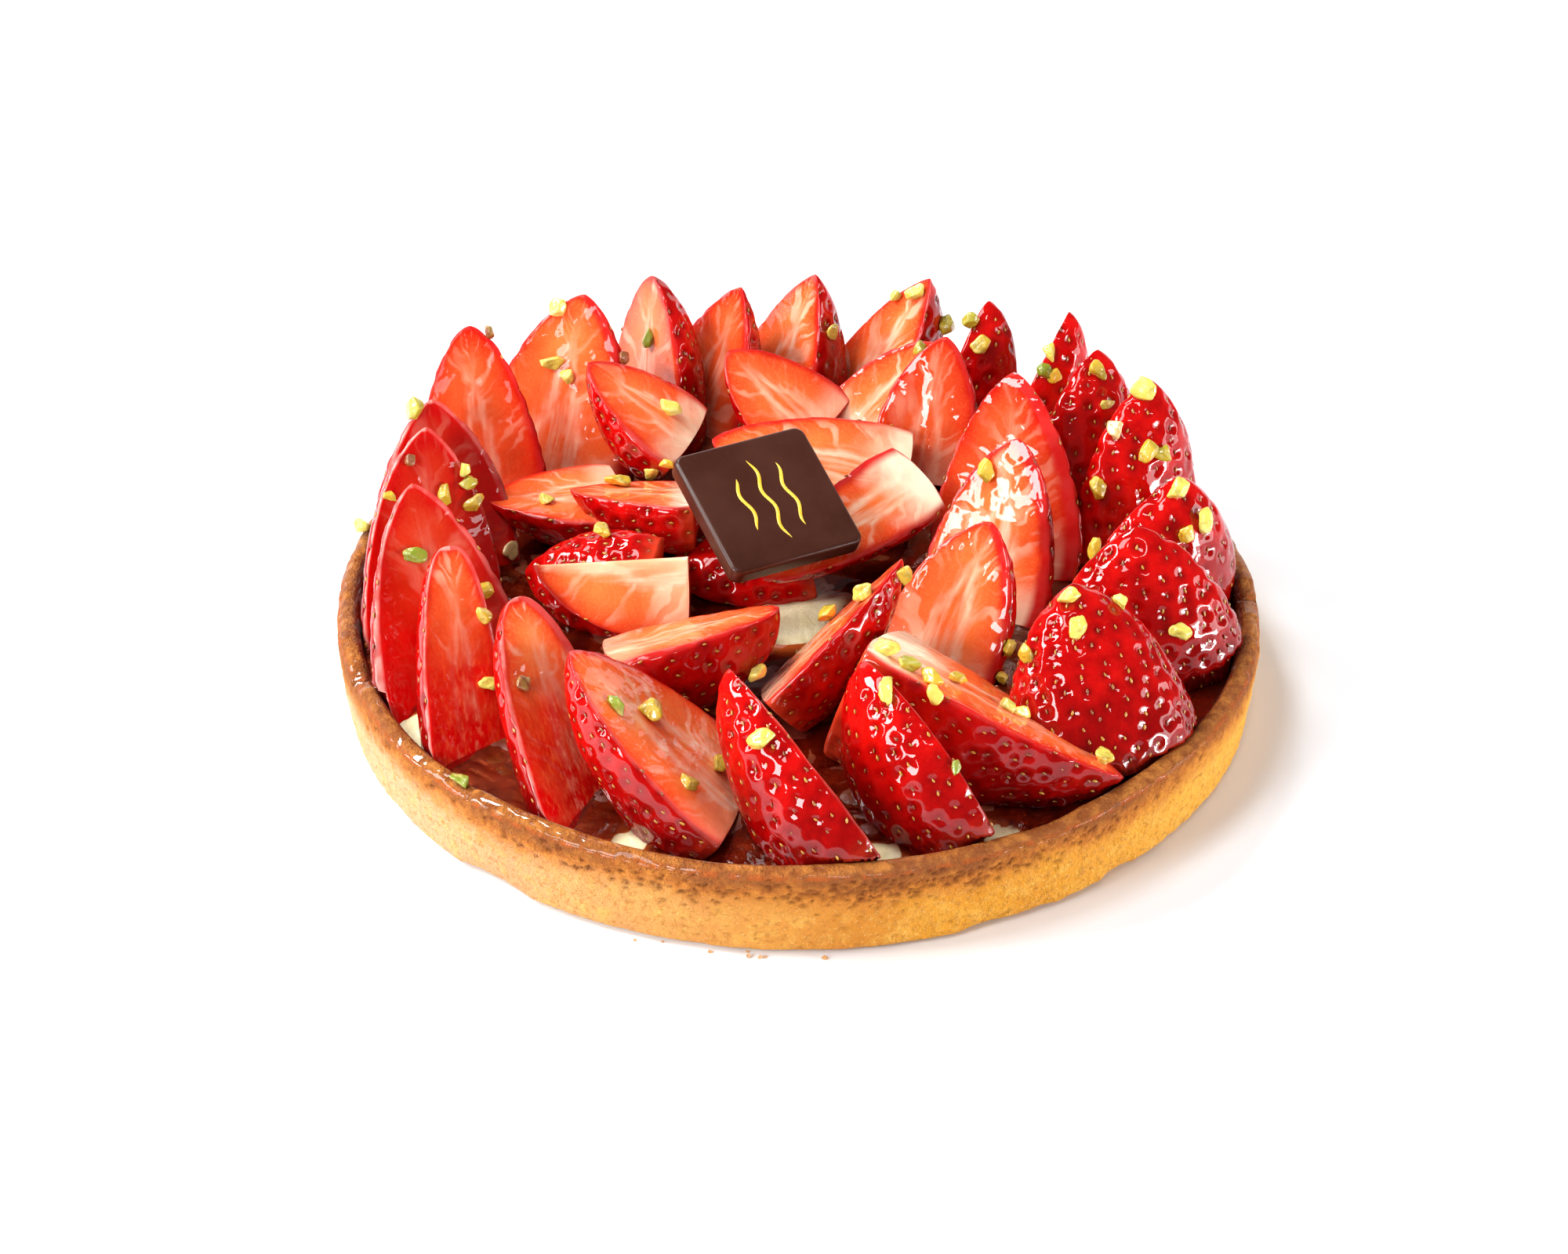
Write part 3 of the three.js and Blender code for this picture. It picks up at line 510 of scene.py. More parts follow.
class Finish:
    """One material's node tree, with short calls for the nodes that it uses."""

    def __init__(self, name):
        self.material = bpy.data.materials.new(name)
        self.material.use_nodes = True
        self.tree = self.material.node_tree

    def node(self, kind, inputs, **settings):
        node = self.tree.nodes.new(kind)
        for key, value in settings.items():
            setattr(node, key, value)
        for key, value in inputs.items():
            self.put(node.inputs[key], value)
        return node

    def add(self, kind, inputs, output=0, **settings):
        return Value(self, self.node(kind, inputs, **settings).outputs[output])

    def put(self, socket, value):
        if isinstance(value, Value):
            self.tree.links.new(value.socket, socket)
        elif isinstance(value, tuple) and len(value) == 3 and socket.type == "RGBA":
            socket.default_value = (*value, 1)
        else:
            socket.default_value = value

    def made(self, **values):
        """Sets the shader's sockets, whose names have spaces for underscores. Gives the material."""
        for key, value in values.items():
            self.put(self.tree.nodes["Principled BSDF"].inputs[key.replace("_", " ")], value)
        return self.material

    def attribute(self, name, output="Fac"):
        return self.add("ShaderNodeAttribute", {}, output, attribute_name=name)

    def parts(self, vector):
        node = self.node("ShaderNodeSeparateXYZ", {"Vector": vector})
        return [Value(self, output) for output in node.outputs]

    def join(self, x, y, z):
        return self.add("ShaderNodeCombineXYZ", {"X": x, "Y": y, "Z": z})

    def place(self):
        return self.add("ShaderNodeTexCoord", {}, "Object")

    def noise(self, vector, scale, detail=3.0, roughness=0.5, warp=0.0):
        return self.add("ShaderNodeTexNoise", {"Vector": vector, "Scale": scale, "Detail": detail,
                                               "Roughness": roughness, "Distortion": warp}, "Fac")

    def cells(self, vector, scale):
        """Distance from the middle of the nearest of many scattered cells."""
        return self.add("ShaderNodeTexVoronoi", {"Vector": vector, "Scale": scale}, feature="F1")

    def math(self, kind, first, second=0.0):
        return self.add("ShaderNodeMath", {0: first, 1: second}, operation=kind)

    def mix(self, factor, first, second):
        return self.add("ShaderNodeMix", {0: factor, 6: first, 7: second}, 2, data_type="RGBA")

    def layers(self, colour, *layers):
        """A colour with further ones over it, each as how much of it shows and the colour."""
        for shown, over in layers:
            colour = self.mix(shown, colour, over)
        return colour

    def bump(self, height, distance, strength=1.0, **under):
        return self.add("ShaderNodeBump", {"Height": height, "Distance": distance,
                                           "Strength": strength, **under})


def strawberry_finish():
    """Wet strawberry: red skin with dimples darkened as painted shade, and a cut face whose flesh goes
    from a red edge through orange to a pale core with branching streaks, all under a clear glaze."""
    f = Finish("strawberry")
    share, side, cut = f.parts(f.attribute("form", "Vector"))
    inset, pale, white = f.parts(f.attribute("tint", "Vector"))
    spot = f.attribute("spot", "Vector")
    across, along, number = f.parts(spot)
    place = f.place()

    # Skin, with dimples darkened as painted shade, and a paler hull end
    skin = f.layers(f.noise(place, 160, 3).blend(0.35, 0.7, (0.38, 0.0007, 0.001), (0.60, 0.004, 0.003)),
                    (f.noise(place, 1300, 2).step(0.5, 0.75, 0.1), (0.80, 0.04, 0.01)),
                    # painted shade: the skin darkens with the depth of each dimple
                    (f.attribute("pit") * 0.8, (0.22, 0.0006, 0.001)),
                    (share.step(0.16, -0.03) * 0.3, (0.85, 0.16, 0.05)))

    # The core: a slim pale outline round the middle of the cut, with long fibres inside it
    wander = f.noise(spot, 0.17, 2) - 0.5
    core = share.step(0.88, 0.25, 0.24) + wander * 0.35
    past_core = abs(side) - core
    outward = (past_core / (1.0 - core)).clamped()
    line = abs(past_core).step(0.13, 0.0) * share.step(0.92, 0.6)
    fibres = f.noise(f.join(across * 2.6, along * 0.3, number), 0.33, 3)
    inner = outward.step(0.3, 0.0) * share.step(0.98, 0.5)
    fibre = fibres.step(0.42, 0.66) * inner

    # Streaks that branch from the core outwards and towards the tip
    root = (along - (outward * 7.5 + wander * 9.0)) * 0.42
    lane = side.sign() * 7.3 + outward * 0.7
    streak = f.noise(f.join(root, lane, number), 1.0, 1.5).step(0.50, 0.66)
    streak = streak * outward.step(1.0, 0.6) * outward.step(0.0, 0.12)
    streak = streak * f.noise(spot, 0.12, 2).step(0.36, 0.6, least=0.25)

    # Flesh, from its red border to the white at the hull end
    cloud = f.noise(spot, 0.14, 3)
    lift = inset.step(0.4, 7.0) * (pale * 0.93 + 0.03)
    lift = (lift + (cloud - 0.5) * (pale * 0.6 + 0.2)).clamped()
    light = (line * 0.5 + fibre * 0.5 + streak * 0.55).clamped()
    light = (light * (pale * 0.95 + 0.14)).clamped()
    grain = f.noise(spot, 1.9, 2).step(0.4, 0.75, 0.2)
    flesh = f.layers(pale.blend(0.0, 0.7, (0.45, 0.0015, 0.0015), (0.88, 0.072, 0.014)),
                     (lift, (0.94, 0.20, 0.045)),
                     (light, (0.98, 0.64, 0.44)),
                     (grain * pale, (0.97, 0.42, 0.15)),
                     (pale.step(1.0, 1.34, 0.7), (0.93, 0.51, 0.29)),
                     ((share + cloud * 0.25).step(0.42, 0.12) * white, (0.97, 0.86, 0.62)),
                     ((inset + cloud * 1.6).step(2.9, 0.8), (0.54, 0.004, 0.003)))

    # Glaze stain with painted shade low down and at the front, and a painted highlight along a cut's edge
    on_cut = cut.step(0.35, 0.8)
    # painted shade mixed into the glaze stain: darker low down, at the front and on cut faces that do not
    # look up
    juice_and_shade = (f.attribute("soaked") * (cloud * 1.1 + 0.4)).clamped()
    streaky = f.noise(f.join(across * 3.0, along, number), 0.5, 3).step(0.45, 0.7)
    stain_shade_colour = f.mix(on_cut, (0.13, 0.0005, 0.0007), (0.62, 0.002, 0.002))
    # painted highlight: a pale pink line along the edge of a cut face
    bead = f.attribute("bead") * f.noise(place, 260, 2).step(0.34, 0.6, least=0.35)
    colour = f.layers(skin, (on_cut, flesh), (juice_and_shade * (1.0 - streaky * 0.3), stain_shade_colour),
                      (bead, (0.95, 0.44, 0.38)))

    # Relief: fine grain under a thicker, smoother glaze
    relief = f.noise(place, 420, 2) + f.noise(place, 1500, 2) * 0.35
    flow = f.noise(place, 230, 1.5, warp=0.5) * cut.step(0.2, 0.9, 0.5, least=0.2)
    return f.made(Base_Color=colour, Roughness=0.45, Normal=f.bump(relief, 0.0002, 0.7),
                  Specular_IOR_Level=0.0, Coat_Weight=f.attribute("glaze"), Coat_Roughness=0.02,
                  Coat_IOR=1.42, Coat_Normal=f.bump(flow, 0.0010, 0.8),
                  Subsurface_Weight=0.2, Subsurface_Scale=0.002, Subsurface_Radius=(1.0, 0.22, 0.10))


def seed_finish():
    f = Finish("seed")
    grain = f.noise(f.place(), 2600, 2)
    colour = f.layers(f.attribute("tone").blend(0.3, 0.95, (0.48, 0.23, 0.02), (0.20, 0.035, 0.006)),
                      (grain.step(0.4, 0.7, 0.25), (0.55, 0.26, 0.04)))
    return f.made(Base_Color=colour, Roughness=0.4, Coat_Weight=1.0, Coat_Roughness=0.05, Coat_IOR=1.42,
                  Normal=f.bump(grain, 0.0001, 0.5))


def pistachio_finish():
    """Chopped pistachio: waxy cut faces with a darker or browner skin in patches."""
    f = Finish("pistachio")
    place = f.place()
    patch = f.noise(place, 420, 3, 0.6)
    grain = f.noise(place, 1900, 3)
    colour = f.layers(f.attribute("tone", "Vector"),
                      (patch.step(0.48, 0.66, 0.55), (0.30, 0.24, 0.03)),
                      (f.noise(place, 300, 2).step(0.56, 0.72, 0.5), (0.82, 0.74, 0.28)),
                      (grain.step(0.5, 0.75, 0.3), (0.52, 0.36, 0.07)))
    return f.made(Base_Color=colour, Roughness=0.4, Normal=f.bump(patch + grain * 0.5, 0.0002, 0.8),
                  Coat_Weight=0.9, Coat_Roughness=0.06,
                  Subsurface_Weight=0.12, Subsurface_Scale=0.0012, Subsurface_Radius=(1.0, 0.8, 0.3))


def crust_finish():
    """Shortcrust: sandy golden side, paler to the left and brighter to the right as painted light, browned
    towards the rim, a glazed brown rim, and baked holes and an inside that are darkened partly as painted
    shade.
    """
    f = Finish("crust")
    place = f.place()
    height, inside, wet = f.parts(f.attribute("bake", "Vector"))
    broad = f.noise(place, 45, 3)
    sand = f.noise(place, 900, 4, 0.65)
    crumb = f.noise(place, 330, 3, 0.6)

    # Golden side, paler towards the left where the key light falls and brighter orange to the right, both
    # painted light
    rich = f.layers(broad.blend(0.35, 0.68, (0.75, 0.32, 0.025), (0.65, 0.235, 0.016)),
                    # painted light: brighter orange towards the right
                    (f.parts(place)[X].step(0.03, 0.085), (0.90, 0.42, 0.055)))
    # painted light: pale towards the lit left, rich towards the right and front
    gold = f.layers(f.mix(f.attribute("baked"), (0.80, 0.44, 0.25), rich),
                    (crumb.step(0.45, 0.7, 0.45), (0.86, 0.49, 0.10)),
                    (sand.step(0.50, 0.66, 0.7), (0.54, 0.21, 0.035)),
                    (f.cells(place, 1100).step(0.28, 0.08, 0.4), (0.92, 0.64, 0.23)))

    # Browning, by an uneven height in millimetres, with specks, and baked holes darkened as browning and
    # painted shade
    level = height + (broad - 0.5) * 7.0 + (crumb - 0.5) * 6.0
    brown = sand.blend(0.35, 0.7, (0.48, 0.13, 0.014), (0.68, 0.24, 0.032))
    specks = f.cells(place, 620).step(0.2, 0.05) * level.step(12.0, 16.0)
    side = f.layers(gold, (level.step(9.5, 16.5), brown), (level.step(14.0, 19.5), (0.24, 0.07, 0.016)),
                    (specks * 0.6, (0.20, 0.05, 0.01)),
                    # painted shade and browning in the baked holes, darker higher up
                    (f.attribute("pit") * height.step(8.0, 14.0, 0.9, least=0.08), (0.16, 0.035, 0.006)))

    # Top of the rim, the red line at its outer edge, and the inside, a glazed dark brown that is darkened
    # further as painted shade
    line = abs(height - 18.1).step(0.7, 0.1) * 0.7
    top = crumb.blend(0.35, 0.7, (0.27, 0.068, 0.010), (0.54, 0.19, 0.032))
    # painted shade: the inside of the wall is darker than its glazed brown
    inside_with_shade = crumb.blend(0.35, 0.7, (0.13, 0.022, 0.004), (0.26, 0.06, 0.012))
    colour = f.layers(side, (height.step(18.0, 18.9), top),
                      (line * crumb.step(0.4, 0.6), (0.50, 0.10, 0.012)), (inside, inside_with_shade))

    # Sandy relief, under a glaze that evens it out
    relief = crumb * 0.8 + sand + f.noise(place, 2600, 2) * 0.35
    normal = f.add("ShaderNodeNewGeometry", {}, "Normal")
    level_coat = f.add("ShaderNodeMix", {0: wet * 0.62, 4: normal, 5: (0, 0, 1)}, 1, data_type="VECTOR")
    level_coat = f.add("ShaderNodeVectorMath", {0: level_coat}, operation="NORMALIZE")
    return f.made(Base_Color=colour, Roughness=wet.step(0.1, 0.9, 0.35, least=0.72),
                  Normal=f.bump(relief, 0.0015), Specular_IOR_Level=0.15,
                  Coat_Weight=wet, Coat_Roughness=0.03, Coat_IOR=1.5,
                  Coat_Normal=f.bump(f.noise(place, 160, 2), 0.0006, 0.3, Normal=level_coat),
                  Subsurface_Weight=0.08, Subsurface_Scale=0.002, Subsurface_Radius=(1.0, 0.5, 0.2))


def cream_finish():
    """Pale pastry cream with fine dark specks where it is bare, dark red where glaze covers it and darkened
    further as painted shade.
    """
    f = Finish("cream")
    place = f.place()
    cloud = f.noise(place, 130, 3)
    cream = f.layers(cloud.blend(0.35, 0.68, (0.80, 0.70, 0.38), (0.92, 0.85, 0.56)),
                     (f.cells(place, 900).step(0.16, 0.05, 0.6), (0.20, 0.15, 0.05)))
    # painted shade: the glaze-covered cream is darker than its stain alone, as the shade between the
    # berries
    syrup_and_shade = cloud.blend(0.35, 0.65, (0.10, 0.010, 0.004), (0.22, 0.045, 0.012))
    return f.made(Base_Color=f.mix(f.attribute("bare"), syrup_and_shade, cream), Roughness=0.45,
                  Normal=f.bump(f.noise(place, 700, 4, 0.6), 0.0004, 0.7),
                  Coat_Weight=0.25, Coat_Roughness=0.2,
                  Subsurface_Weight=0.2, Subsurface_Scale=0.002, Subsurface_Radius=(1.0, 0.9, 0.5))


def chocolate_finish():
    """Dark chocolate with a satin shine that wavers a little."""
    f = Finish("chocolate")
    place = f.place()
    cloud = f.noise(place, 90, 3)
    bloom = f.noise(place, 800, 3)
    colour = f.layers(cloud.blend(0.3, 0.7, (0.044, 0.0115, 0.0062), (0.056, 0.016, 0.0088)),
                      (bloom.step(0.55, 0.8, 0.3), (0.06, 0.025, 0.02)))
    return f.made(Base_Color=colour, Roughness=cloud.step(0.3, 0.7, 0.36, least=0.27),
                  Specular_IOR_Level=0.38, Normal=f.bump(cloud + bloom * 0.04, 0.0006, 0.35))


def gold_finish():
    f = Finish("gold_print")
    tint = f.noise(f.place(), 500, 2)
    return f.made(Base_Color=tint.blend(0.35, 0.7, (0.80, 0.50, 0.03), (0.88, 0.62, 0.07)), Roughness=0.35,
                  Normal=f.bump(tint, 0.0002, 0.4), Coat_Weight=0.3)


def glaze_finish():
    """Clear red-brown glaze that lies between the berries, tinted deep to paint the shade there as well."""
    f = Finish("glaze")
    # painted shade: the deep tint darkens the gaps between the berries
    return f.made(Base_Color=(0.82, 0.165, 0.05), Roughness=0.02, IOR=1.38, Transmission_Weight=1.0,
                  Normal=f.bump(f.noise(f.place(), 120, 2), 0.0005, 0.12))


def floor_finish():
    f = Finish("floor")
    colour = f.mix(f.noise(f.place(), 60, 2), (0.90, 0.93, 0.97), (0.92, 0.95, 0.99))
    return f.made(Base_Color=colour, Roughness=0.9, Specular_IOR_Level=0.1)


# Crust

def crust_profile(angle):
    """Corner points of the crust's section at each angle, as distances and heights: 0 to 2 the
    underside and foot, 3 to 6 the side, 7 and 8 the rim, 9 and 10 its inside, 11 to 13 the inside
    of the wall and base."""
    outer = outline_radius(angle)
    inner = inner_radius(angle)
    crest = crest_height(angle)
    foot = FOOT_INSET + chip_depth(FOOT_CHIPS, angle)
    level = np.zeros_like(angle)
    corners = [(outer - UNDER_EDGE, level), (outer - foot - FOOT_ROUND_IN, level),
               (outer - foot, level + FOOT_ROUND_UP)]
    corners += [(outer - inset, level + height) for inset, height in SIDE_PROFILE]
    corners += [(outer - inset, crest - below) for inset, below in RIM_OUTSIDE]
    corners += [(inner + outset, crest - below) for outset, below in RIM_INSIDE]
    corners += [(inner, level + CREAM_LEVEL - CREAM_DIP), (inner, level + UNDER_CREAM)]
    return corners + [(inner - UNDER_EDGE, level + UNDER_CREAM)]


def crust_grid():
    """Radius and height of the dense crust, row by row, with the corner that each row is at."""
    angle = np.arange(CRUST_SEGMENTS) * 360 / CRUST_SEGMENTS
    corners = crust_profile(angle)
    rows, corner = [], []
    for k, count in enumerate(SECTION_STEPS):
        for part in np.arange(count) / count:
            rows.append([(1 - part) * a + part * b for a, b in zip(corners[k], corners[k + 1])])
            corner.append(k + part)
    rows = np.array(rows + [corners[-1]])
    for _ in range(SECTION_ROUNDING):
        rows[1:-1] = 0.25 * rows[:-2] + 0.5 * rows[1:-1] + 0.25 * rows[2:]
    return angle, rows[:, 0], rows[:, 1], np.array(corner + [len(SECTION_STEPS)])[:, None]


def baked_holes(angle, height):
    """Share of a hole's depth at each point of the side. More of the holes are at the front and
    high up."""
    rng = np.random.default_rng(23)
    centres = rng.uniform(0, 360, PITS)
    front = rng.random(PITS) < 0.55
    centres[front] = rng.normal(278, 17, front.sum())
    levels = np.where(rng.random(PITS) < 0.7, rng.normal(14.8, 1.5, PITS), rng.uniform(2, 16, PITS))
    sizes = rng.uniform(0.18, 0.5, PITS)
    hole = np.zeros_like(height)
    for middle, level, size in zip(centres, np.minimum(levels, PIT_TOP), sizes):
        turn = angle_between(angle, middle)
        near = turn < PIT_REACH
        aside = np.radians(turn[near]) * RIM_RADIUS * PIT_STRETCH
        gap = np.hypot(aside, height[:, near] - level) / size
        hole[:, near] = np.maximum(hole[:, near], np.exp(-gap ** 2))
    return hole


def build_crust(material):
    angle, radius, height, corner = crust_grid()
    points = polar(radius, angle, height)
    outside = smooth(corner, 1.0, 2.2) * smooth(corner, 9.6, 8.2)
    on_top = smooth(corner, 6.4, 7.2) * smooth(corner, 9.9, 9.1)

    # Sandy relief and baked holes, which go inwards only, so that the outside keeps its size
    sand = 0.14 * noise(points, 1.3, 3) + 0.13 * noise(points, 3.1, 4) + 0.16 * noise(points, 9.0, 5) - 0.34
    hole = baked_holes(angle, height)
    inward = outside * (sand - 0.5 * hole)

    # Cracks and unevenness of the rim, which is smoother where glaze covers it
    crack = 0
    for middle, width, depth in CRACKS:
        wander = middle + 0.25 * np.sin(radius * 1.7 + middle)
        crack = np.maximum(crack, depth * np.exp(-((angle - wander) / width) ** 2))
    glazed = smooth(angle_between(angle, GLAZED_MIDDLE), *GLAZED_REACH)
    uneven = 0.10 * noise(points, 2.2, 8) * (1 - 0.85 * glazed) + 0.12 * noise(points, 7.0, 9)
    lower = on_top * (uneven - 0.18 - crack)
    points = polar(radius + inward, angle, height + lower)

    inside = smooth(corner + 0.25 * noise(points, 3.0, 14).mean(1, keepdims=True), 8.6, 9.4)
    inside = inside * np.ones_like(radius)
    streak = smooth(noise(points, 6.0, 12) + 0.35 * noise(points, 2.0, 13), -0.35, 0.35)
    drip = smooth(corner, 6.5, 7.3) * glazed * (0.35 + 0.65 * streak)
    wet = np.clip(np.maximum(drip, on_top * 0.3) + 0.6 * inside, 0, 1)
    # painted light: the side's tone by its angle, pale towards the lit left
    baked = smooth(np.cos(np.radians(angle - RICHEST_SIDE)), -0.7, 0.9) + 0 * radius
    attributes = {
        "bake": with_ends(np.stack([points[..., 2], inside, wet], -1), (0, 0, 0), (0, 1, 0)),
        "pit": with_ends(hole * outside, 0, 0),
        "baked": with_ends(baked, 0, 0),
    }
    mesh = make_mesh("pastry", with_ends(points, (0, 0, 0), (0, 0, UNDER_CREAM)),
                     closed_faces(len(corner), CRUST_SEGMENTS), attributes)
    add_piece(mesh, material, "crust")


# Cream and the glaze on it

def level_spots(x, y):
    return np.stack([x, y, np.zeros_like(x)], -1)


def lumpy_cream(x, y):
    """Height of the lumpy cream, swirled where it was spread."""
    spots = level_spots(x, y)
    warp = 3.0 * np.stack([noise(spots, 9, 31), noise(spots, 9, 32), np.zeros_like(x)], -1)
    lumps = 0.55 * np.abs(noise(spots + warp, 6.0, 33)) + 0.35 * np.abs(noise(spots + warp, 2.8, 34))
    return cream_top(x, y) + 0.9 * lumps + 0.10 * noise(spots, 1.2, 35) - 0.35


def bare_share(x, y, edges, wander=0):
    """How bare the cream is, from 0 to 1. The edges of a patch are the distances from its middle
    at which it starts and is full, worked out from its reach."""
    bare = 0
    for distance, angle, reach in BARE_CREAM:
        middle = polar(distance, angle, 0)
        away = np.hypot(x - middle[0], y - middle[1])
        bare = np.maximum(bare, smooth(away + wander, *edges(reach)))
    return bare


def disc(rows, columns, top_height, low):
    """Closed round body: a top given by a height function and a plain underside."""
    angle = np.arange(columns) * 360 / columns
    radius = np.sqrt(np.linspace(0, 1, rows + 1)[1:])[:, None] * (inner_radius(angle) - 0.1)
    top = polar(radius, angle, 0.0)
    x, y = top[..., 0], top[..., 1]
    top[..., 2] = top_height(x, y)
    rim = np.stack([x[-1], y[-1], np.full(columns, low)], -1)[None]
    middle = top_height(np.zeros(1), np.zeros(1))[0]
    points = with_ends(np.concatenate([top, rim]), (0, 0, middle), (0, 0, low))
    return points, [group[:, ::-1] for group in closed_faces(rows + 1, columns)]


def build_cream(material):
    """The cream, pale where it is bare, and elsewhere stained by the red glaze and darkened as painted
    shade.
    """
    points, faces = disc(*CREAM_GRID, lumpy_cream, UNDER_CREAM + 0.2)
    bare = bare_share(points[:, 0], points[:, 1], lambda reach: (reach + 2, reach - 1.5),
                      2.5 * noise(points, 4, 36))
    add_piece(make_mesh("filling", points, faces, {"bare": bare}), material, "cream")


def build_glaze(material):
    """Glaze that has run down into the low places of the cream, but not over its bare patches."""
    def level(x, y):
        fill = POOL_FILL * CREAM_DIP * dip_by_wall(x, y)
        bare = bare_share(x, y, lambda reach: (reach * 1.1, reach * 0.7))
        ripple = 0.25 * noise(level_spots(x, y), 17, 41)
        return cream_top(x, y) + fill * (1 - bare) + 0.12 + ripple - BARE_DEPTH * bare

    points, faces = disc(*POOL_GRID, level, UNDER_CREAM + 0.4)
    add_piece(make_mesh("glaze_pools", points, faces), material)


# Strawberries

class Berry:
    """Directions and sizes of one berry."""

    def __init__(self, number):
        row = BERRIES[number]
        self.name, hull, tip, faces, self.width, self.depth, self.blunt, self.pale, self.white = row
        self.number = number
        self.start = polar(*hull)
        reach = polar(*tip) - self.start
        self.length = float(np.linalg.norm(reach))
        self.along = reach / self.length
        normal = facing(*faces)
        self.normal = unit(normal - (normal @ self.along) * self.along)
        self.across = np.cross(self.normal, self.along)
        self.wedge = self.name == "wedge"
        self.span = math.pi / 2 if self.wedge else math.pi

    def outline(self, share):
        body = np.maximum(0, 1 - np.clip(share, 0, 1) ** TAPER) ** self.blunt
        return body * (1 - SHOULDER * np.maximum(0, 1 - np.maximum(share, 0) / SHOULDER_LENGTH) ** 2)

    def swell(self, share, around):
        n = self.number
        return 1 + 0.035 * np.sin(2 * around + 2.4 * n) + 0.025 * np.sin(6 * share + 1.7 * n)

    def point(self, share, x, n):
        """Point from a share of the length and millimetres across and out of the cut face."""
        share, x, n = (part[..., None] for part in np.broadcast_arrays(share, x, n))
        return self.start + share * self.length * self.along + x * self.across + n * self.normal

    def on_skin(self, share, around):
        size = self.outline(share) * self.swell(share, around)
        x, n = self.width / 2 * size * np.cos(around), -self.depth * size * np.sin(around)
        return self.point(share, x, n)

    def out_of_skin(self, share, around):
        share, around = (part[..., None] for part in np.broadcast_arrays(share, around))
        out = np.cos(around) / self.width * self.across
        out = unit(out - np.sin(around) / (2 * self.depth) * self.normal)
        return unit(out + (share - 0.35) * self.along)


def turned(angle, first, second):
    """Matrix of a turn that takes the first axis towards the second."""
    matrix = np.eye(3)
    matrix[first, first] = matrix[second, second] = math.cos(angle)
    matrix[second, first] = math.sin(angle)
    matrix[first, second] = -math.sin(angle)
    return matrix


def plaque_axes():
    """The chocolate square's own directions as rows: across, up its face and out of it."""
    spin, tip, turn = np.radians([PLAQUE_FACES[0], 90 - PLAQUE_FACES[1], PLAQUE_TURN])
    return (turned(spin, X, Y) @ turned(tip, Z, X) @ turned(turn, X, Y)).T


def settle(points):
    """Keeps fruit off the crust's wall and rim, above the deep cream and under the chocolate."""
    radius = np.hypot(points[..., 0], points[..., 1])
    angle = np.degrees(np.arctan2(points[..., 1], points[..., 0])) % 360
    beside_wall = points[..., 2] < crest_height(angle) + 0.12
    limit = np.where(beside_wall, inner_radius(angle) - 0.15, RIM_RADIUS - OUTLINE_WOBBLE)
    squeeze = np.minimum(1, limit / np.maximum(radius, 1e-6))
    points = points * np.stack([squeeze, squeeze, np.ones_like(squeeze)], -1)
    points[..., 2] = np.maximum(points[..., 2], cream_top(points[..., 0], points[..., 1]) - FRUIT_SUNK)
    axes = plaque_axes()
    local = (points - PLAQUE_CENTRE) @ axes.T
    under = (np.abs(local[..., :2]) < PLAQUE_SIDE / 2 + 0.1).all(-1)
    local[..., 2] = np.where(under, np.minimum(local[..., 2], -PLAQUE_THICKNESS - 0.05), local[..., 2])
    return local @ axes + PLAQUE_CENTRE


def seed_spots(berry):
    """Places of the seeds on a berry's skin, as shares of its length and angles round it."""
    rng = np.random.default_rng(100 + berry.number)
    pitch = SEED_PITCH * rng.uniform(0.92, 1.12)
    shares, arounds = [], []
    share = 0.05
    row = 0
    while share < SEEDS_TO:
        reach = berry.span * (berry.width / 2 + berry.depth) / 2 * berry.outline(share)
        count = max(1, round(reach / (pitch * 1.02)))
        for k in range(count):
            middle = (k + 0.5 + 0.5 * (row % 2 - 0.5) + rng.uniform(-0.26, 0.26)) / count
            shares.append(share + rng.uniform(-0.24, 0.24) * pitch / berry.length)
            arounds.append(middle * berry.span)
        share += pitch * 0.84 / berry.length * (1 - 0.25 * share)
        row += 1
    return np.clip(shares, 0.03, SEEDS_TO), np.array(arounds)


def softened(ring):
    """Ring of values, each averaged with those beside it."""
    return 0.25 * np.roll(ring, 1) + 0.5 * ring + 0.25 * np.roll(ring, -1)


def section(berry, skin_steps, cut_steps):
    """Closed outline of a berry's section as shares of its half width and depth, with how much
    each point belongs to the cut and its place round the skin."""
    around = np.linspace(0, berry.span, skin_steps + 1)
    x, n = np.cos(around), -np.sin(around)
    if berry.wedge:
        back = np.linspace(0, 1, cut_steps + 2)[1:-1]
        x = np.concatenate([x, 0 * back, [0], back])
        n = np.concatenate([n, back - 1, [0], 0 * back])
        turn = np.concatenate([around, np.full(cut_steps, berry.span), [0], 0 * back])
    else:
        back = np.linspace(-1, 1, cut_steps + 2)[1:-1]
        x, n = np.concatenate([x, back]), np.concatenate([n, 0 * back])
        turn = np.concatenate([around, np.where(back < 0, berry.span, 0)])
    cut = np.zeros(len(x))
    cut[skin_steps + 1:] = 1
    for _ in range(EDGE_ROUNDING):
        x, n = softened(x), softened(n)
    return x, n, softened(cut), turn


def glaze_stain_and_shade(points, cut, upward):
    """How deeply the glaze stain and painted shade darken the fruit: low down near the crust, more at the
    front of the tart, and little on a cut face that looks upward."""
    x, y, height = points.T
    # painted shade with the glaze stain: darker low down, less on cut faces that look up
    on_skin = smooth(height, *SKIN_STAIN_AND_SHADE)
    on_cut = smooth(height, *CUT_STAIN_AND_SHADE) * (1 - 0.85 * smooth(upward, *LOOKS_UP))
    to_front = 0.35 + 0.65 * smooth(y, *STAIN_AND_SHADE_FRONT)
    return (on_skin + (on_cut - on_skin) * cut) * smooth(np.hypot(x, y), *STAIN_AND_SHADE_RING) * to_front


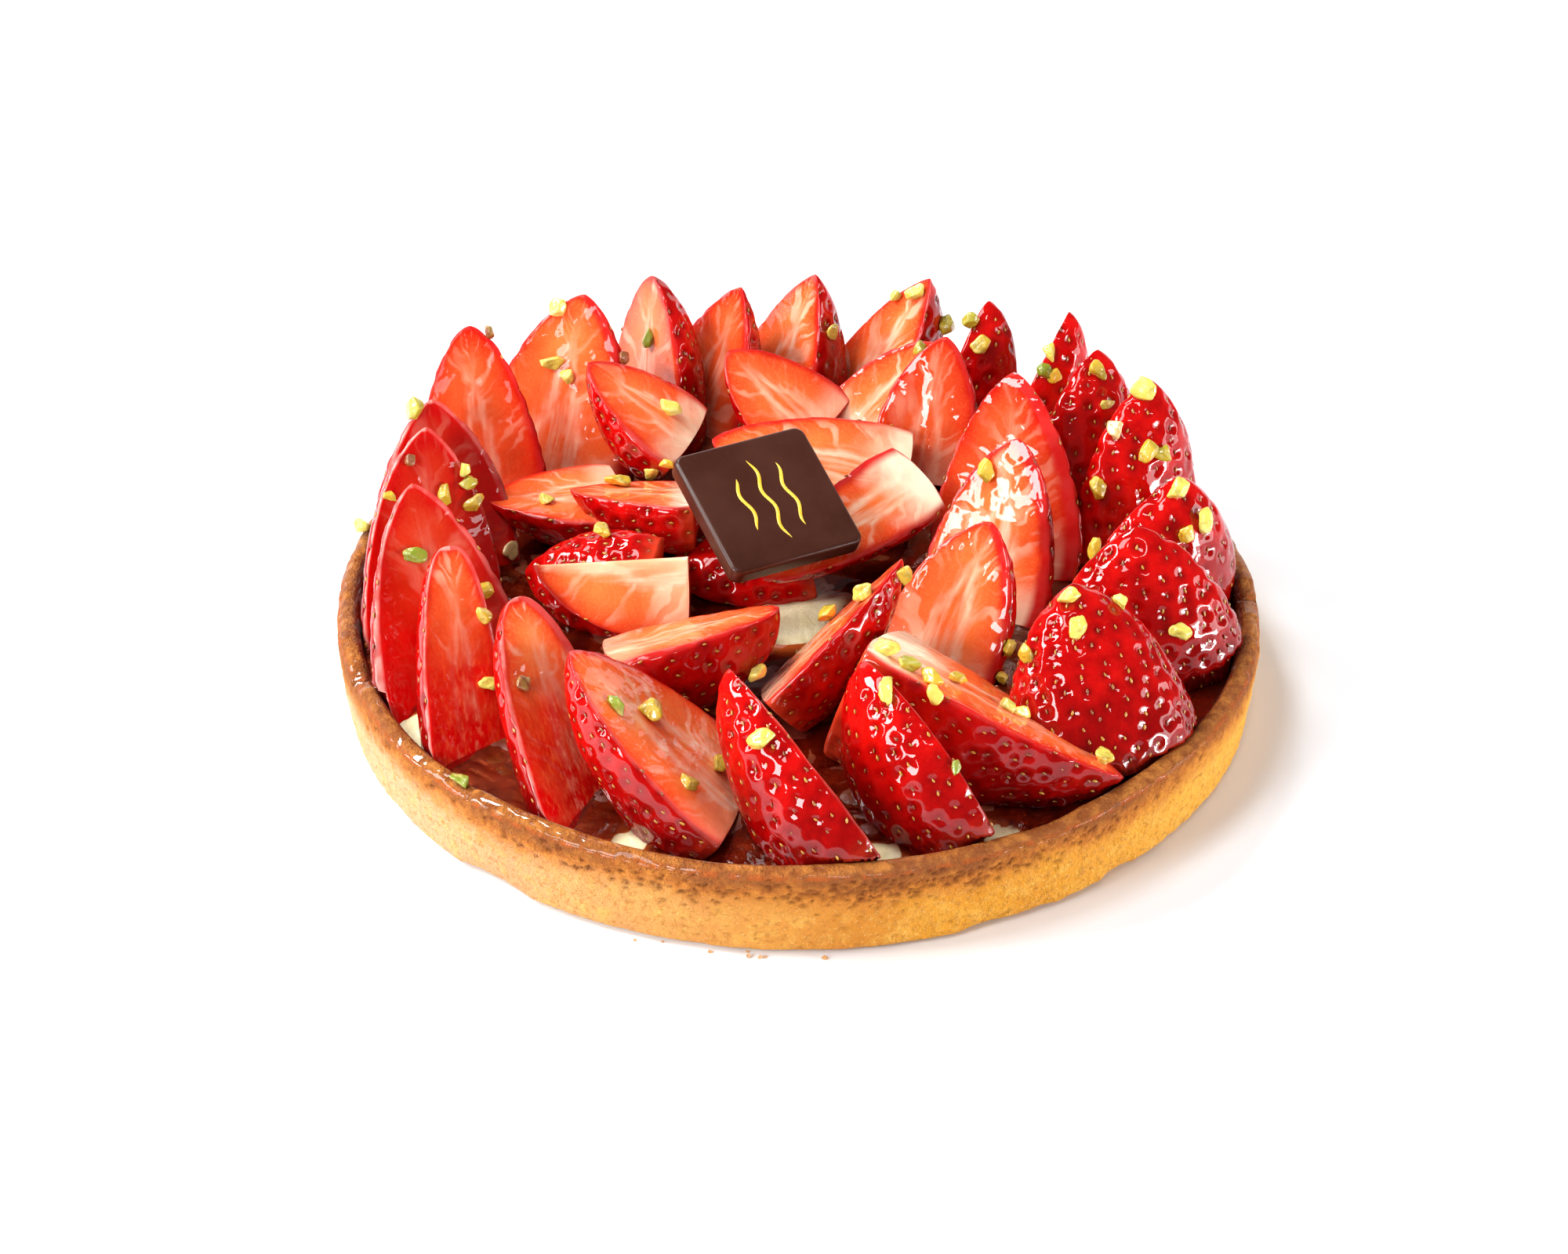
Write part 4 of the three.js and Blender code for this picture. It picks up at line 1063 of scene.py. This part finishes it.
def dimples(berry, points, seeds):
    """How deep each point lies in the dimple of a seed, and how high on the lip round one."""
    flat = points.reshape(-1, 3)
    dimple = lip = np.zeros(len(flat))
    depths = np.random.default_rng(500 + berry.number).uniform(0.55, 1.15, len(seeds))
    for seed, depth in zip(seeds, depths):
        gap = np.linalg.norm(flat - seed, axis=1) / DIMPLE_RADIUS
        dimple = np.maximum(dimple, depth * np.exp(-gap ** 2))
        lip = np.maximum(lip, depth * np.exp(-((gap - LIP_RADIUS) / LIP_WIDTH) ** 2))
    return dimple.reshape(points.shape[:2]), lip.reshape(points.shape[:2])


def build_berry(berry, material):
    rows, skin_steps, cut_steps = RING_GRID if berry.name.startswith("rim") else INNER_GRID
    x, n, cut, turn = section(berry, skin_steps, cut_steps)

    # Rows: the rounded hull end first, then the body up to the tip
    cap = np.linspace(0, 1, 7)[1:-1]
    share = np.sin(np.arange(rows) / rows * math.pi / 2)
    back = -HULL_BULGE * (1 - cap ** 2.2)
    shares = np.concatenate([back, share])[:, None]
    sizes = np.concatenate([cap ** 0.8 * berry.outline(0.0), berry.outline(share)])[:, None]
    skin_share = np.clip(shares, 0, 1)
    swell = 1 + (berry.swell(skin_share, turn) - 1) * (1 - 0.9 * cut)
    half = berry.width / 2 * sizes
    across = half * swell * x
    points = berry.point(shares, across, berry.depth * sizes * swell * n)
    grid = np.ones_like(across)
    cut_grid = cut * grid
    reach = np.hypot(across, berry.depth * sizes * swell * n) if berry.wedge else across
    spot = np.stack([reach, shares * berry.length * grid, 13.7 * berry.number * grid], -1)

    # Dimples round the seeds, and slight unevenness of the skin and the cut
    seed_share, seed_around = seed_spots(berry)
    seeds = berry.on_skin(seed_share, seed_around)
    dimple, lip = (depth * (1 - cut) for depth in dimples(berry, points, seeds))
    raised = 0.12 * noise(points, 4.5, 60) * (1 - cut) + DIMPLE_LIP * lip - DIMPLE_DEPTH * dimple
    body = np.clip(sizes / 0.25, 0, 1)
    points = points + (raised * body)[..., None] * berry.out_of_skin(skin_share, turn)
    ridge = 0.10 * noise(spot, 2.6, 61) + 0.24 * noise(spot, 7, 62)
    points = points + (cut * ridge * body)[..., None] * berry.normal
    hull = berry.point(-HULL_BULGE, 0, -berry.depth * 0.35)
    points = settle(with_ends(points, hull, berry.point(1, 0, 0)))

    # Distance in from the outline of the cut face, and the painted highlight along it
    to_side = half - np.abs(reach)
    to_tip = (1 - shares) * berry.length * 0.8
    inset = np.minimum(to_side - RINDS.get(berry.name, THIN_RIND) * (reach < 0), to_tip)
    side = np.divide(reach, half, out=np.zeros_like(reach), where=half > 0.01)
    # painted highlight along the cut's edge, full on one side and weaker on the other
    bead = np.maximum(4 * cut * (1 - cut), cut * smooth(inset, EDGE_HIGHLIGHT_WIDTH, EDGE_HIGHLIGHT_WIDTH / 2))
    bead = bead * EDGE_HIGHLIGHTS.get(berry.name, 0.15) * np.where(x > 0, 1, 0.3)
    pale = berry.pale * grid
    if berry.wedge:
        pale = np.clip(WEDGE_PALE - np.abs(side), 0.25, WEDGE_PALE)
    end_tint = berry.pale, berry.white
    attributes = {
        "form": with_ends(np.stack([shares * grid, side, cut_grid], -1), (0, 0, 0.5), (1, 0, 0.5)),
        "tint": with_ends(np.stack([inset, pale, berry.white * grid], -1), (2, *end_tint), (0, *end_tint)),
        "spot": with_ends(spot, (0, 0, 0), (0, berry.length, 0)),
        "pit": with_ends(dimple, 0, 0),
        "soaked": glaze_stain_and_shade(points, with_ends(cut_grid, 0, 0), berry.normal[2]),
        "bead": with_ends(bead, 0, 0),
        "glaze": np.full(len(points), THIN_GLAZE.get(berry.name, 1.0)),
    }
    mesh = make_mesh("fruit_" + berry.name, points, closed_faces(len(shares), len(x)), attributes)
    add_piece(mesh, material, "berry_" + berry.name)
    return seeds, seed_share, seed_around


def seed_shape():
    """A low drop-shaped seed, pointed towards +X, lying on z = 0."""
    rings, around = 5, 7
    part = np.arange(1, rings)[:, None] / rings
    turn = np.arange(around) * 2 * math.pi / around
    wide = np.sin(math.pi * part) ** 0.8 * (1 - 0.35 * part)
    points = np.stack([part - 0.45 + 0 * turn, 0.5 * wide * np.cos(turn), 0.36 * wide * np.sin(turn)], -1)
    return with_ends(points, (-0.45, 0, 0), (0.55, 0, 0)), closed_faces(rings - 1, around)


def build_seeds(berries, spots, material):
    """One mesh of all the seeds, sunk in their dimples. A seed that the cream or crust would
    cover is left out."""
    shape, faces = seed_shape()
    rng = np.random.default_rng(71)
    points, tones = [], []
    for berry, (seeds, shares, arounds) in zip(berries, spots):
        outs = berry.out_of_skin(shares, arounds)
        kept = np.linalg.norm(settle(seeds.copy()) - seeds, axis=1) < 0.05
        kept &= seeds[:, 2] > cream_top(seeds[:, 0], seeds[:, 1]) + 0.4
        for place, out in zip(seeds[kept], outs[kept]):
            along = unit(berry.along - (berry.along @ out) * out)
            beside = np.cross(out, along)
            spin = rng.normal(0, 0.25)
            c, s = math.cos(spin), math.sin(spin)
            axes = np.stack([(c * along + s * beside) * SEED_LENGTH, (c * beside - s * along) * SEED_WIDTH,
                             out * SEED_WIDTH]) * rng.uniform(0.82, 1.15)
            points.append(shape @ axes + place + (0.12 - DIMPLE_DEPTH) * out)
            tones.append(rng.random())
    starts = np.arange(len(points))[:, None, None] * len(shape)
    joined = [(group + starts).reshape(-1, group.shape[1]) for group in faces]
    mesh = make_mesh("seeds", np.concatenate(points), joined, {"tone": np.repeat(tones, len(shape))})
    add_piece(mesh, material)


# Pistachios

def ball(subdivisions):
    """Points and triangles of an even ball of radius 1."""
    mesh = bmesh.new()
    bmesh.ops.create_icosphere(mesh, subdivisions=subdivisions, radius=1.0)
    points = np.array([vertex.co[:] for vertex in mesh.verts])
    faces = np.array([[vertex.index for vertex in face.verts] for face in mesh.faces])
    mesh.free()
    return points, faces


def chopped(directions, rng):
    """A chopped piece about 2 across: a ball cut by random planes, with softened edges."""
    normals = unit(rng.normal(size=(CHOPS, 3)))
    normals = np.vstack([normals, directions[::PLANE_EVERY]])
    distances = np.concatenate([rng.uniform(0.42, 0.95, CHOPS), np.ones(len(normals) - CHOPS)])
    facing_out = np.maximum(directions @ normals.T / distances, 0)
    reach = (facing_out ** EDGE_SHARPNESS).sum(1) ** (-1 / EDGE_SHARPNESS)
    return directions * reach[:, None]


def next_turn(draws):
    """Turn of a nib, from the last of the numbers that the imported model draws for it."""
    return [next(draws) for _ in range(NIB_DRAWS)][-1] * 2 * math.pi


def nib_places(berries):
    """Place, direction out, size, colour and turn of each nib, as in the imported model."""
    by_name = {berry.name: berry for berry in berries}
    lies = []
    draws = random_from(NIB_SEED)
    for host, nibs in NIBS.items():
        berry = by_name[host]
        for side, share, spot, size, colour in nibs:
            turn = next_turn(draws)
            if side == "cut":
                place = berry.point(share, berry.width / 2 * berry.outline(share) * spot, 0)
                out = berry.normal
            else:
                around = math.radians(spot)
                place, out = berry.on_skin(share, around), berry.out_of_skin(share, around)
            lies.append((place, out, size, colour, turn))
    draws = random_from(NIB_SEED + 1)
    for angle, inset, size, colour in RIM_NIBS:
        turn = next_turn(draws)
        place = polar(outline_radius(angle) - inset, angle, crest_height(angle) - 0.3)
        lies.append((place, np.array([0.0, 0, 1]), size, colour, turn))
    return lies


def build_pistachios(berries, material):
    directions, triangles = ball(4)
    rng = np.random.default_rng(NIB_SEED)
    points, faces, tones = [], [], []
    for k, (place, out, size, colour, turn) in enumerate(nib_places(berries)):
        lie = Vector((0, 0, 1)).rotation_difference(Vector(out)).to_matrix()
        crags = 0.08 * noise(directions + 5 * k, 0.6, 81) + 0.03 * noise(directions + 5 * k, 0.25, 82)
        shape = chopped(directions, rng) + directions * crags[:, None]
        shape = shape * np.array([0.5, 0.5 * NIB_BROAD, 0.5 * NIB_THICK]) * size
        shape = shape @ turned(turn, X, Y).T
        points.append(shape @ np.array(lie).T + place + out * size * (NIB_THICK / 2 - NIB_SUNK))
        tones.append(np.tile(np.array(NIB_COLOURS[colour]) * rng.uniform(0.88, 1.1), (len(directions), 1)))
        faces.append(triangles + len(directions) * k)
    mesh = make_mesh("pistachios", np.concatenate(points), [np.concatenate(faces)],
                     {"tone": np.concatenate(tones)})
    add_piece(mesh, material)


# Chocolate square

def rounded_square(steps, half, corner, level):
    """Points round a square with rounded corners."""
    start = np.arange(4)[:, None] * math.pi / 2
    turn = start + np.linspace(0, math.pi / 2, steps)
    x = (half - corner) * (np.cos(start) - np.sin(start)) + corner * np.cos(turn)
    y = (half - corner) * (np.sin(start) + np.cos(start)) + corner * np.sin(turn)
    return np.stack([x, y, level + 0 * x], -1).reshape(-1, 3)


def build_plaque(material):
    """Slab with rounded edges and a slightly hollow top face, built from rings."""
    quarter = np.linspace(0, math.pi / 2, 10)
    flare, drop = PLAQUE_BEVEL * (1 - np.sin(quarter)), PLAQUE_BEVEL * (1 - np.cos(quarter))
    profile = list(zip(flare, drop - PLAQUE_THICKNESS)) + list(zip(drop, -flare))
    profile += [(inset, -HOLLOW_DEPTH * min(1, (inset - PLAQUE_BEVEL) / 3)) for inset in HOLLOW_RINGS]
    rings = [rounded_square(12, PLAQUE_SIDE / 2 - inset, max(PLAQUE_CORNER - inset, 0.4), level)
             for inset, level in profile]
    flat = with_ends(np.array(rings), (0, 0, -PLAQUE_THICKNESS), (0, 0, profile[-1][1]))
    flat[:, 2] += 0.05 * noise(flat * np.array([1, 1, 0]), 9, 91)
    mesh = make_mesh("chocolate_square", flat @ plaque_axes() + PLAQUE_CENTRE,
                     closed_faces(len(rings), len(rings[0])))
    add_piece(mesh, material, "plaque")


def build_gold_lines(material):
    """Fine wavy lines of gold print, side by side on the chocolate: low tubes, tapered at the ends."""
    route = np.linspace(-1, 1, WAVE_STEPS)
    wide = WAVE_WIDTH * (1 - np.abs(route) ** 6) + 0.02
    turn = np.arange(WAVE_SIDES) * 2 * math.pi / WAVE_SIDES
    strokes, faces = [], []
    for shift, reach in WAVE_LINES:
        line = np.stack([route * reach, shift + WAVE_SWAY * np.sin(route * reach * WAVE_TURNS)], -1)
        ahead = unit(np.gradient(line, axis=0))
        aside = np.stack([-ahead[:, 1], ahead[:, 0]], -1)
        tube = np.empty((WAVE_STEPS, WAVE_SIDES, 3))
        tube[..., :2] = line[:, None] + aside[:, None] * (wide[:, None] * np.cos(turn))[..., None]
        tube[..., 2] = -HOLLOW_DEPTH + 0.45 * wide[:, None] * np.sin(turn)
        faces += closed_faces(WAVE_STEPS, WAVE_SIDES, sum(len(stroke) for stroke in strokes))
        strokes.append(with_ends(tube, (*line[0], -HOLLOW_DEPTH), (*line[-1], -HOLLOW_DEPTH)))
    mesh = make_mesh("gold_lines", np.concatenate(strokes) @ plaque_axes() + PLAQUE_CENTRE, faces)
    add_piece(mesh, material)


def build_crumbs(material):
    """Crumbs that have come off the foot of the crust."""
    directions, triangles = ball(3)
    rng = np.random.default_rng(27)
    points = []
    for _ in range(CRUMBS):
        angle = rng.uniform(*CRUMB_ANGLES)
        size = rng.uniform(*CRUMB_SIZES)
        shape = (directions + chopped(directions, rng)) / 2 * size * np.array([1, 0.85, 0.7])
        points.append(shape + polar(CRUMB_RADIUS + rng.uniform(0, 1.6), angle, size * 0.45))
    flat = np.concatenate(points)
    flat[:, 2] = np.maximum(flat[:, 2], 0)
    faces = [triangles + k * len(directions) for k in range(CRUMBS)]
    attributes = {"bake": np.tile([3.0, 0, 0], (len(flat), 1)), "pit": np.zeros(len(flat))}
    add_piece(make_mesh("crumbs", flat, faces, attributes), material)


# Surroundings

def build_surroundings():
    corners = [(-FLOOR_HALF, -FLOOR_HALF, 0), (FLOOR_HALF, -FLOOR_HALF, 0),
               (FLOOR_HALF, FLOOR_HALF, 0), (-FLOOR_HALF, FLOOR_HALF, 0)]
    floor = add_object("floor", make_mesh("floor", corners, [np.array([[0, 1, 2, 3]])]))
    floor.data.materials.append(floor_finish())

    world = bpy.data.worlds.new("studio")
    world.use_nodes = True
    world.node_tree.nodes["Background"].inputs["Color"].default_value = (1, 1, 1, 1)
    world.node_tree.nodes["Background"].inputs["Strength"].default_value = WORLD_STRENGTH
    bpy.context.scene.world = world

    for name, place, size, power in SOFTBOXES:
        light = bpy.data.lights.new(name, "AREA")
        light.shape = "RECTANGLE"
        light.size, light.size_y = size
        light.energy = power
        box = add_object(name, light)
        box.location = place
        box.rotation_euler = (Vector(LIT_POINT) - Vector(place)).to_track_quat("-Z", "Y").to_euler()


def build_camera():
    camera = add_object("camera", bpy.data.cameras.new("camera"))
    camera.data.sensor_width = SENSOR_WIDTH
    camera.data.lens = CAMERA_LENS
    camera.location = CAMERA_PLACE
    camera.rotation_euler = (math.radians(90 - CAMERA_DOWN), 0, 0)
    bpy.context.scene.camera = camera
    bpy.context.scene.view_settings.view_transform = "Standard"


build_camera()
build_surroundings()
crust_material = crust_finish()
build_crust(crust_material)
build_crumbs(crust_material)
build_cream(cream_finish())
build_glaze(glaze_finish())
berries = [Berry(number) for number in range(len(BERRIES))]
berry_material = strawberry_finish()
build_seeds(berries, [build_berry(berry, berry_material) for berry in berries], seed_finish())
build_pistachios(berries, pistachio_finish())
build_plaque(chocolate_finish())
build_gold_lines(gold_finish())
